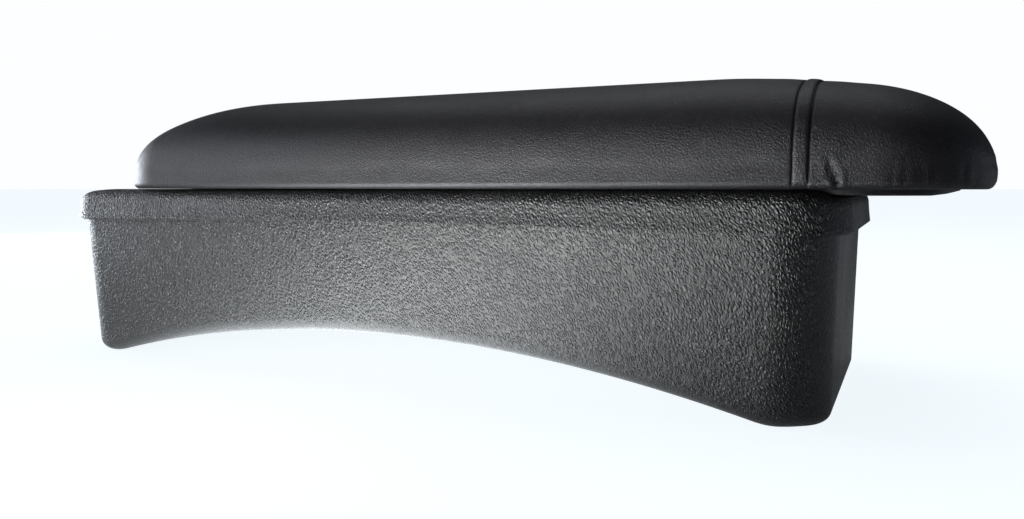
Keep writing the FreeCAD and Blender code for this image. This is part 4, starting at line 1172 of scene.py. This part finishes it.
@dataclass
class ArmPad:
    """The padded rest: crowned leather over foam, parted by a raised seam band near the front."""

    rear: float
    front: float
    bottom: float
    seam: float
    half_width: float = 63.0 * MM
    crown: float = 35.0 * MM
    rear_corner: float = 24.0 * MM
    front_corner: float = 30.7 * MM
    rear_run: float = 66.0 * MM
    nose_run: float = 35.5 * MM
    rear_power: float = 2.3
    nose_power: float = 2.2
    side_power: float = 3.4
    crown_fall: float = 0.172
    crown_fall_run: float = 77.0 * MM
    rear_tip: float = 1.0 * MM
    nose_tip: float = 4.2 * MM
    rear_tuck: float = 2.5 * MM
    nose_tuck: float = 3.2 * MM
    hem_radius: float = 2.2 * MM
    band_width: float = 3.9 * MM
    band_height: float = 0.6 * MM
    groove: float = 0.55 * MM
    groove_width: float = 0.42 * MM
    skin: float = 1.3 * MM
    swell_limit: float = 1.6 * MM
    # Each pinch fold: place ahead of the seam in mm, lean, width in mm and height in mm.
    folds: Tuple[Tuple[float, ...], ...] = ((10.0, 0.42, 0.62, -1.15), (8.3, 0.40, 0.6, 0.42),
                                            (11.6, 0.36, 0.6, 0.45))
    points: SectionCount = SectionCount()
    coarse_x: Optional[np.ndarray] = None

    def stations(self, start: float, end: float, fine_at: Sequence[float], step: float) -> np.ndarray:
        """Places along X for the cross sections, closer together where the shape turns fast.

        Args:
            start: first place.
            end: last place.
            fine_at: places that need fine spacing.
            step: the coarsest spacing.

        Returns:
            Sorted places, from start to end.
        """
        guide = np.linspace(start, end, 4001)
        density = np.full(len(guide), 1.0 / step)
        for spot in fine_at:
            density += 2.2 / MM * bump(spot, 2.2 * MM, guide)
        for tip in (self.rear, self.front):
            near = np.maximum(np.abs(guide - tip), 0.02 * MM)
            density += 0.5 / MM / np.sqrt(near / MM)
        total = np.concatenate([[0], np.cumsum((density[1:] + density[:-1]) / 2 * np.diff(guide))])
        count = int(total[-1]) + 1
        return np.interp(np.linspace(0, total[-1], count), total, guide)

    def half_at(self, x: np.ndarray) -> np.ndarray:
        """Half width in plan: straight sides with circular corners."""
        rear = np.clip(self.rear_corner - (x - self.rear), 0, self.rear_corner)
        front = np.clip(self.front_corner - (self.front - x), 0, self.front_corner)
        back = self.rear_corner - np.sqrt(np.maximum(self.rear_corner ** 2 - rear ** 2, 0))
        nose = self.front_corner - np.sqrt(np.maximum(self.front_corner ** 2 - front ** 2, 0))
        return self.half_width - back - nose

    def high_at(self, x: np.ndarray) -> np.ndarray:
        """Height of the crown: power curves rise from both tips and meet a nearly level middle."""
        fall = self.crown_fall * smooth(self.front - self.crown_fall_run, self.front, x)
        crown = self.crown * (1 - fall)
        back = np.clip(1 - (x - self.rear) / self.rear_run, 0, 1)
        nose = np.clip(1 - (self.front - x) / self.nose_run, 0, 1)
        rise_back = np.maximum(1 - back ** self.rear_power, 0) ** (1 / self.rear_power)
        rise_nose = np.maximum(1 - nose ** self.nose_power, 0) ** (1 / self.nose_power)
        tip = np.where(x < 0, self.rear_tip, self.nose_tip)
        return self.bottom + tip + (crown - tip) * rise_back * rise_nose

    def low_at(self, x: np.ndarray) -> np.ndarray:
        """Height of the underside: flat, with an elliptical tuck at both tips."""
        back = np.clip(1 - (x - self.rear) / self.rear_tuck, 0, 1)
        nose = np.clip(1 - (self.front - x) / self.nose_tuck, 0, 1)
        rise = self.rear_tip * (1 - np.sqrt(1 - back ** 2)) + self.nose_tip * (1 - np.sqrt(1 - nose ** 2))
        return self.bottom + rise

    def surface(self, x: np.ndarray, inset: float = 0.0, points: Optional[SectionCount] = None) -> np.ndarray:
        """Cross sections at each place: a flat underside, round lower corners and a power-curve top.

        Args:
            x: places along the pad.
            inset: how far inside the leather's outer face.
            points: how many points a section has, or None for the pad's own.

        Returns:
            A places by points by 3 array, each section running from the lower left over the underside.
        """
        points = points or self.points
        half = np.maximum(self.half_at(x) - inset, 0.5 * MM)[:, None]
        low = (self.low_at(x) + inset)[:, None]
        high = np.maximum(self.high_at(x) - inset, self.low_at(x) + inset)[:, None]
        radius = np.minimum(self.hem_radius, 0.45 * (high - low))
        base = low + radius
        t = np.linspace(1, -1, points.bottom + 1)[None, :-1]
        under_y, under_z = (half - radius) * t, low + 0 * t
        turn = np.radians(np.linspace(-90, 0, points.corner + 1))[None, :-1]
        right_y, right_z = -(half - radius) - radius * np.cos(turn), base + radius * np.sin(turn)
        turn_top = np.radians(np.linspace(0, 180, points.top + 1))[None, :-1]
        power = 2 / self.side_power
        across = np.sign(np.cos(turn_top)) * np.abs(np.cos(turn_top)) ** power
        top_y, top_z = -half * across, base + (high - base) * np.abs(np.sin(turn_top)) ** power
        back = turn[:, ::-1]
        left_y, left_z = (half - radius) + radius * np.cos(back), base + radius * np.sin(back)
        y = np.concatenate([under_y, right_y, top_y, left_y], 1)
        z = np.concatenate([under_z, right_z, top_z, left_z], 1)
        return np.stack([np.broadcast_to(x[:, None], y.shape), y, z], -1)

    @staticmethod
    def normals(grid: np.ndarray) -> np.ndarray:
        """Outward unit normals of a grid of sections, as the cross product of its two tangents."""
        along = np.gradient(grid, axis=0)
        round_ = np.roll(grid, -1, 1) - np.roll(grid, 1, 1)
        cross = np.cross(along, round_)
        length = np.linalg.norm(cross, axis=-1, keepdims=True)
        return cross / np.maximum(length, 1e-12)

    def stuffing(self, x: np.ndarray, swell: Optional[np.ndarray]) -> np.ndarray:
        """Displacement read from the coarse simulated grid, which is nothing but rounding.

        Args:
            x: places along the pad.
            swell: coarse grid of displacements, or None when it is skipped.

        Returns:
            A places by points by 3 array.
        """
        total = self.points.total
        if swell is None:
            return np.zeros((len(x), total, 3))
        rows = np.interp(x, self.coarse_x, np.arange(len(self.coarse_x)))
        columns = np.arange(total) / total * swell.shape[1]
        return cubic(cubic(swell, rows, 0, False), columns, 1, True)

    def simulate(self) -> np.ndarray:
        """Runs a cloth simulation of the stuffed leather: pressure from inside, hem and seam held.

        It moves nothing beyond rounding, as the comment above the settings says.

        Returns:
            The displacement of each point of a coarse grid of sections.
        """
        spread = np.linspace(0, 1, 74)
        self.coarse_x = self.rear + 0.4 * MM + (self.front - self.rear - 0.8 * MM) * (
            spread - 0.10 * np.sin(2 * math.pi * spread))
        grid = self.surface(self.coarse_x, 0.6 * MM, SectionCount(18, 2, 44))
        rows, count = grid.shape[:2]
        index = np.arange(rows * count).reshape(rows, count)
        faces = strips(index[:-1], index[1:]).tolist() + [index[0][::-1].tolist(), index[-1].tolist()]
        mesh = bpy.data.meshes.new("stuffing")
        mesh.from_pydata(grid.reshape(-1, 3).tolist(), [], faces)
        cloth_piece = bpy.data.objects.new("stuffing", mesh)
        bpy.context.scene.collection.objects.link(cloth_piece)
        flat = grid.reshape(-1, 3)
        held = smooth(self.bottom + 6 * MM, self.bottom + 2.5 * MM, flat[:, 2])
        held = np.maximum(held, bump(self.seam, 3.0 * MM, flat[:, 0]))
        pins = cloth_piece.vertex_groups.new(name="held")
        for number in np.nonzero(held > 0.02)[0].tolist():
            pins.add([number], float(held[number]), "REPLACE")
        cloth = cloth_piece.modifiers.new("stuffing", "CLOTH")
        for key, value in CLOTH_SETTINGS.items():
            setattr(cloth.settings, key, value)
        cloth.settings.effector_weights.gravity = 0.0
        cloth.point_cache.frame_start = 1
        cloth.point_cache.frame_end = CLOTH_FRAMES
        for number in range(1, CLOTH_FRAMES + 1):
            bpy.context.scene.frame_set(number)
        graph = bpy.context.evaluated_depsgraph_get()
        result = cloth_piece.evaluated_get(graph).to_mesh()
        spots = np.empty(len(result.vertices) * 3)
        result.vertices.foreach_get("co", spots)
        bpy.data.objects.remove(cloth_piece)
        bpy.context.scene.frame_set(1)
        moved = spots.reshape(rows, count, 3) - grid
        size = np.linalg.norm(moved, axis=-1, keepdims=True)
        moved = moved * np.minimum(1, self.swell_limit / np.maximum(size, 1e-9))
        LOG.info("stuffing moved the leather by up to %.6f mm", size.max() / MM)
        return moved

    def details(self, grid: np.ndarray) -> np.ndarray:
        """Small shapes along the normal: grooves by the band, pinch folds, gathers and a hem roll.

        Grooves and folds are bell curves across their line. Gathers are a sum of sines that fades upwards.

        Args:
            grid: sections of the pad.

        Returns:
            The height along the normal at each point.
        """
        x, y, z = grid[..., 0], grid[..., 1], grid[..., 2]
        up = z - self.bottom
        half_band = self.band_width / 2
        depth = np.zeros(x.shape)
        above_hem = smooth(0.3 * MM, 1.5 * MM, up)
        for edge in (self.seam - half_band, self.seam + half_band):
            depth -= self.groove * bump(edge, self.groove_width, x) * above_hem
        puff = sum(bump(self.seam + way * (half_band + 5 * MM), 4 * MM, x) for way in (-1, 1))
        depth += 0.12 * MM * puff * smooth(2 * MM, 8 * MM, up)
        low_part = smooth(10 * MM, 3.5 * MM, up) * smooth(0.3 * MM, 1.2 * MM, up)
        for side in (Side.RIGHT.value, Side.LEFT.value):
            on_side = smooth(0.5, 0.75, side * y / self.half_width)
            for place, lean, width, size in self.folds:
                centre = self.seam + place * MM - lean * up
                depth += size * MM * bump(0, width * MM, x - centre) * low_part * on_side
            ahead = (x - self.seam) / MM
            gathers = np.sin(ahead * 1.9) + 0.7 * np.sin(ahead * 2.63 + 1.3 + up / MM * 0.05)
            spread = smooth(20 * MM, 26 * MM, x - self.seam) * smooth(46 * MM, 38 * MM, x - self.seam)
            depth += 0.11 * MM * gathers * spread * low_part * on_side
        share_out = np.abs(y) / np.maximum(self.half_at(x), 1 * MM)
        roll = bump(1.6 * MM, 1.1 * MM, up) * smooth(0.85, 0.97, share_out)
        depth += 0.35 * MM * roll * smooth(self.front - 14 * MM, self.front - 30 * MM, x)
        dimple = bump(2.0 * MM + 1.0 * MM * np.sin(x / MM * 0.11), 1.2 * MM, up - 4 * MM)
        depth -= 0.10 * MM * dimple * (1 + np.sin(x / MM * 0.31 + 0.6 * np.sin(x / MM * 0.13)))
        return depth

    def panel(self, name: str, start: float, end: float, swell: Optional[np.ndarray],
              step: float) -> bpy.types.Object:
        """One leather panel as a closed form.

        Args:
            name: the piece's name.
            start: its rear end.
            end: its front end.
            swell: the coarse displacement of the stuffing.
            step: the coarsest spacing of its sections.

        Returns:
            The new object.
        """
        half_band = self.band_width / 2
        seams = [self.seam - half_band, self.seam + half_band]
        x = self.stations(start, end, [s for s in seams if start - 1 * MM < s < end + 1 * MM], step)
        grid = self.surface(x) + self.stuffing(x, swell)
        grid = grid + self.normals(grid) * self.details(grid)[..., None]
        grid[..., 2] = np.maximum(grid[..., 2], self.bottom)
        rows, count = grid.shape[:2]
        index = np.arange(rows * count).reshape(rows, count)
        quads = strips(index[:-1], index[1:])
        ends = [grid[0].mean(0), grid[-1].mean(0)]
        points = np.concatenate([grid.reshape(-1, 3), ends])
        first, last = rows * count, rows * count + 1
        rear_fan = np.stack([np.full(count, first), index[0], np.roll(index[0], -1)], -1)
        front_fan = np.stack([np.full(count, last), np.roll(index[-1], -1), index[-1]], -1)
        faces = quads.tolist() + rear_fan.tolist() + front_fan.tolist()
        return build_mesh(name, points, faces)

    def band(self, swell: Optional[np.ndarray]) -> bpy.types.Object:
        """The seam band: a flattened half round carried along the section at the seam.

        Args:
            swell: the coarse displacement of the stuffing.

        Returns:
            The new object.
        """
        x = self.seam + np.linspace(-1, 1, 15) * (self.band_width / 2 - 0.15 * MM)
        grid = self.surface(x) + self.stuffing(x, swell)
        normal = self.normals(grid)
        share = (x - self.seam) / (self.band_width / 2)
        dome = (1 - np.abs(share) ** 4) ** 0.5
        up = smooth(0.2 * MM, 3 * MM, grid[..., 2] - self.bottom)
        ripple = 1 + 0.06 * np.sin(np.arange(grid.shape[1]) * 0.9)[None, :] * bump(0, 0.5, share)[:, None]
        outer = grid + normal * ((self.band_height * dome[:, None] * ripple - 0.15 * MM) * up)[..., None]
        outer[..., 2] = np.maximum(outer[..., 2], self.bottom + 0.05 * MM)
        inner = grid - normal * (self.skin + 0.2 * MM)
        loops = np.concatenate([outer, inner[::-1]])
        rows, count = loops.shape[:2]
        index = np.arange(rows * count).reshape(rows, count)
        return build_mesh("seam_band_welt", loops.reshape(-1, 3), strips(index, np.roll(index, -1, 0)))

    def build(self, leather: bpy.types.Material, band_leather: bpy.types.Material,
              foam: bpy.types.Material) -> None:
        """Makes the leather panels, the band and the foam inside them.

        Args:
            leather: finish of the panels.
            band_leather: finish of the band.
            foam: finish of the foam.
        """
        swell = self.simulate()
        half_band = self.band_width / 2
        main = self.panel("pad_leather_main", self.rear, self.seam - half_band + 0.2 * MM, swell, 1.6 * MM)
        nose = self.panel("pad_leather_front", self.seam + half_band - 0.2 * MM, self.front, swell, 0.8 * MM)
        band = self.band(swell)
        for piece, node, slot in ((main, "cover_main", Slot.LEATHER), (nose, "cover_front", Slot.LEATHER),
                                  (band, "seam_band", Slot.BAND)):
            dress(piece, band_leather if slot is Slot.BAND else leather)
            sharpen(piece, 50)
            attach(piece, "pad")
            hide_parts(node)
        core = self.core()
        dress(core, foam)
        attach(core, "pad")
        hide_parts("foam_core")
        for piece, fill in ((main, 0.8), (nose, 0.8), (core, 0.9)):
            LOG.info("%s: %d faces", piece.name, len(piece.data.polygons))

    def core(self) -> bpy.types.Object:
        """The foam, the same form a little inside the leather, above the board's underside."""
        x = np.linspace(self.rear + 5 * MM, self.front - 9 * MM, 90)
        grid = self.surface(x, 2.6 * MM, SectionCount(16, 4, 50))
        rows, count = grid.shape[:2]
        index = np.arange(rows * count).reshape(rows, count)
        faces = strips(index[:-1], index[1:]).tolist() + [index[0][::-1].tolist(), index[-1].tolist()]
        return build_mesh("foam_block", grid.reshape(-1, 3), faces)


def cubic(grid: np.ndarray, places: np.ndarray, axis: int, wrap: bool) -> np.ndarray:
    """Reads a grid between its rows by Catmull-Rom weights of the four nearest rows.

    Args:
        grid: the values.
        places: fractional row numbers to read.
        axis: the axis that the rows run along.
        wrap: whether the rows form a loop.

    Returns:
        The values at those places.
    """
    count = grid.shape[axis]
    base = np.floor(places).astype(int)
    t = places - base
    weights = [-0.5 * t + t ** 2 - 0.5 * t ** 3, 1 - 2.5 * t ** 2 + 1.5 * t ** 3,
               0.5 * t + 2 * t ** 2 - 1.5 * t ** 3, -0.5 * t ** 2 + 0.5 * t ** 3]
    shape = [1] * grid.ndim
    shape[axis] = len(places)
    total = 0.0
    for offset, weight in zip((-1, 0, 1, 2), weights):
        rows = (base + offset) % count if wrap else np.clip(base + offset, 0, count - 1)
        total = total + np.take(grid, rows, axis=axis) * weight.reshape(shape)
    return total


# ---------------------------------------------------------------- carried-over nodes
NODE_FINISHES: Dict[str, Finish] = {
    "hinge_pin": GROUND_STEEL, "pin_clips": ZINC, "knuckle_bushes": ACETAL, "magnet_holder": PLATE_PLASTIC,
    "catch_magnet": NICKEL, "holder_screws": ZINC, "lid_liner": LINER_PLASTIC, "liner_screws": ZINC,
    "strike_plate": ZINC, "slide_rail_left": ZINC, "slide_rail_right": ZINC, "rail_screws": ZINC,
    "stop_screw": ZINC, "stop_sleeve": RUBBER, "detent_housing": ACETAL, "detent_spring": GROUND_STEEL,
    "detent_plunger": ACETAL, "base_plate": PLATE_PLASTIC, "slide_shoes_left": ACETAL,
    "slide_shoes_right": ACETAL,
    "shoe_screws": ZINC, "board_screws": ZINC, "pad_board": PLY, "cover_staples": ZINC,
}


class Wardrobe:
    """Makes each finish's material once."""

    def __init__(self) -> None:
        """Starts empty."""
        self.made: Dict[str, bpy.types.Material] = {}

    def get(self, finish: Finish) -> bpy.types.Material:
        """The material of a finish."""
        if finish.name not in self.made:
            self.made[finish.name] = finish.make()
        return self.made[finish.name]

    def dress_nodes(self, nodes: Dict[str, bpy.types.Object]) -> None:
        """Gives the carried-over CAD nodes their finishes."""
        for name, finish in NODE_FINISHES.items():
            for slot in nodes[name].material_slots:
                slot.material = self.get(finish)
            if not nodes[name].material_slots:
                LOG.warning("%s has no material slot", name)


# ---------------------------------------------------------------- studio
@dataclass
class Studio:
    """Pale floor, soft lights and the camera."""

    eye: Tuple[float, float, float] = (0.1683, -0.300, 0.0683)
    turn_left: float = 25.568
    look_down: float = 4.915
    lens: float = 29.64
    floor_glow: float = 0.955
    pool_glow: float = 34.0
    strip_glow: float = 3.2
    far_glow: float = 1.5
    rest_glow: float = 0.12

    def camera(self) -> None:
        """Sets the camera close to the right side, near the front end."""
        data = bpy.data.cameras.new("camera")
        data.lens = self.lens
        data.sensor_width = 36.0
        data.clip_start = 0.01
        data.clip_end = 30.0
        camera = bpy.data.objects.new("camera", data)
        camera.location = self.eye
        camera.rotation_euler = (math.radians(90 - self.look_down), 0.0, math.radians(self.turn_left))
        bpy.context.scene.collection.objects.link(camera)
        bpy.context.scene.camera = camera

    @staticmethod
    def bell(tree: Tree, value: bpy.types.NodeSocket, centre: float, width: float) -> bpy.types.NodeSocket:
        """Bell curve of a value: e to the minus squared distance from centre over width."""
        away = tree.math("DIVIDE", tree.math("SUBTRACT", value, centre), width)
        return tree.math("EXPONENT", tree.math("MULTIPLY", tree.math("MULTIPLY", away, away), -1.0))

    def floor(self) -> None:
        """A wide pale floor just under the feet, whose mirror image in glossy faces is a light table's."""
        size = 40.0
        corners = np.array([(-1, -1), (1, -1), (1, 1), (-1, 1)]) * size
        points = at_height(corners, -0.05 * MM)
        floor = build_mesh("floor", points, [(0, 1, 2, 3)])
        finish = Finish("pale_floor", rough=0.9)
        material, tree, shader = finish.start()
        noise = tree.node("TexNoise", {"Vector": tree.place(), "Scale": 3.0, "Detail": 2.0}).outputs[0]
        path = tree.node("LightPath")
        seen, mirrored = path.outputs["Is Camera Ray"], path.outputs["Is Glossy Ray"]
        near = tree.blend(noise, (0.30, 0.30, 0.30, 1), (0.33, 0.33, 0.33, 1))
        thrown = tree.blend(noise, (0.55, 0.55, 0.55, 1), (0.58, 0.58, 0.58, 1))
        finish.set_varying(tree, shader, "Base Color", tree.blend(seen, thrown, near))
        spot = tree.node("SeparateXYZ", {0: tree.place()})
        x, y = spot.outputs[0], spot.outputs[1]
        pool = tree.math("MULTIPLY", self.bell(tree, x, -0.022, 0.075), self.bell(tree, y, -0.27, 0.15))
        fade = tree.math("ADD", tree.math("MULTIPLY", tree.ramp(x, -0.16, -0.02), 0.88), 0.12)
        strip = tree.math("MULTIPLY", tree.ramp(x, 0.16, 0.0), self.bell(tree, y, 0.0, 0.13))
        strip = tree.math("MULTIPLY", strip, fade)
        far = tree.math("MULTIPLY", tree.ramp(x, -0.10, -0.7), self.far_glow)
        far = tree.math("MULTIPLY", far, tree.ramp(y, 0.4, 0.0))
        near_glare = tree.math("MULTIPLY", pool, self.pool_glow)
        glare = tree.math("ADD", near_glare, tree.math("MULTIPLY", strip, self.strip_glow))
        glare = tree.math("ADD", tree.math("ADD", glare, far), self.rest_glow)
        tint = tree.blend(pool, (0.90, 0.96, 1.0, 1.0), (1.0, 0.98, 0.93, 1.0))
        finish.set_varying(tree, shader, "Emission Color", tint)
        shader.inputs["Specular IOR Level"].default_value = 0.0
        shader.inputs["Roughness"].default_value = 0.9
        glow = tree.math("ADD", tree.math("MULTIPLY", seen, self.floor_glow),
                         tree.math("MULTIPLY", mirrored, glare))
        tree.tree.links.new(glow, shader.inputs["Emission Strength"])
        dress(floor, material)

    def world(self) -> None:
        """White behind the object for the eye, and a dim tent for everything else."""
        world = bpy.data.worlds.new("tent")
        bpy.context.scene.world = world
        world.use_nodes = True
        world.node_tree.nodes.clear()
        t = Tree(world.node_tree)
        seen = t.node("LightPath").outputs["Is Camera Ray"]
        way = t.node("TexCoord").outputs["Generated"]
        side, depth, height = t.node("SeparateXYZ", {0: way}).outputs[:3]
        share = t.math("ADD", t.ramp(side, 0.35, -0.8), t.math("MULTIPLY", t.ramp(side, -0.8, -1.0), 4.5))
        share = t.math("MULTIPLY", share, t.ramp(depth, 0.5, 0.2))
        low = t.math("MULTIPLY", self.bell(t, height, 0.0, 0.24), share)
        glow = t.node("VectorMath", {0: (2.0, 2.1, 2.3), 3: low}, operation="SCALE").outputs[0]
        tent = t.node("VectorMath", {0: glow, 1: (0.028, 0.032, 0.04)}, operation="ADD").outputs[0]
        shade = t.blend(seen, tent, (0.985, 0.99, 1.0, 1))
        background = t.node("Background", {"Color": shade, "Strength": 1.0})
        output = t.node("OutputWorld")
        t.tree.links.new(background.outputs[0], output.inputs[0])

    def light(self, name: str, place: Tuple[float, float, float], aim: Tuple[float, float, float],
              size: Tuple[float, float], power: float, color: Tuple[float, float, float]) -> bpy.types.Light:
        """Adds a rectangular soft light.

        Args:
            name: its name.
            place: where it stands.
            aim: the point it faces.
            size: width and height.
            power: watts.
            color: its tint.

        Returns:
            The light's data.
        """
        data = bpy.data.lights.new(name, "AREA")
        data.shape = "RECTANGLE"
        data.size, data.size_y = size
        data.energy = power
        data.color = color
        lamp = bpy.data.objects.new(name, data)
        lamp.location = place
        way = np.asarray(aim) - np.asarray(place)
        flat = math.hypot(way[0], way[1])
        lamp.rotation_euler = (math.atan2(flat, -way[2]), 0.0, math.atan2(-way[0], way[1]))
        bpy.context.scene.collection.objects.link(lamp)
        return data

    def lights(self) -> None:
        """A warm lamp over the near left of the floor, and cool ones low at both ends."""
        self.light("warm_near", (-0.30, -0.70, 0.12), (-0.02, -0.06, 0.03), (0.50, 0.20), 0.8,
                   (1.0, 0.95, 0.86))
        self.light("cool_rear", (-1.1, 0.16, 0.10), (0.0, 0.0, 0.05), (0.5, 0.18), 3.0, (0.80, 0.92, 1.0))
        self.light("cool_front", (1.2, 0.62, 0.16), (0.1, 0.0, 0.05), (0.4, 0.3), 0.6, (0.72, 0.84, 1.0))
        top = self.light("top_fill", (-0.1, 0.3, 1.1), (0.0, 0.0, 0.0), (1.2, 1.0), 4.0, (0.95, 0.97, 1.0))
        top.specular_factor = 0.08

    def build(self) -> None:
        """Sets the whole studio up."""
        bpy.context.scene.view_settings.view_transform = "Standard"
        self.camera()
        self.floor()
        self.world()
        self.lights()


def main() -> None:
    """Loads the frame, builds every piece and the studio, and reports them."""
    logging.basicConfig(level=logging.INFO, format="%(name)s: %(message)s")
    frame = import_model()
    Studio().build()
    wardrobe = Wardrobe()
    wardrobe.dress_nodes(frame["nodes"])
    _, tub_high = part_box("storage_box")
    _, rim_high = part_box("lid_frame")
    tub = StorageBox(half_length=tub_high.x, half_width=tub_high.y, wall_top=tub_high.z)
    for piece in (tub.build(wardrobe.get(BOX_PLASTIC)), tub.build_mat(wardrobe.get(MAT_RUBBER)),
                  tub.build_seal(wardrobe.get(RUBBER))):
        LOG.info("%s: %d faces", piece.name, len(piece.data.polygons))
    lid = LidFrame(half_length=rim_high.x, half_width=rim_high.y, top=rim_high.z)
    rim = lid.build(wardrobe.get(RIM_PLASTIC))
    LOG.info("%s: %d faces", rim.name, len(rim.data.polygons))
    main_low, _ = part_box("cover_main")
    _, nose_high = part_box("cover_front")
    band_low, band_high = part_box("seam_band")
    pad = ArmPad(rear=main_low.x, front=nose_high.x, bottom=main_low.z - HEM_DROP,
                 seam=(band_low.x + band_high.x) / 2)
    pad.build(wardrobe.get(LEATHER), wardrobe.get(BAND_LEATHER), wardrobe.get(FOAM))
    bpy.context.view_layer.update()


if __name__ == "__main__":
    main()
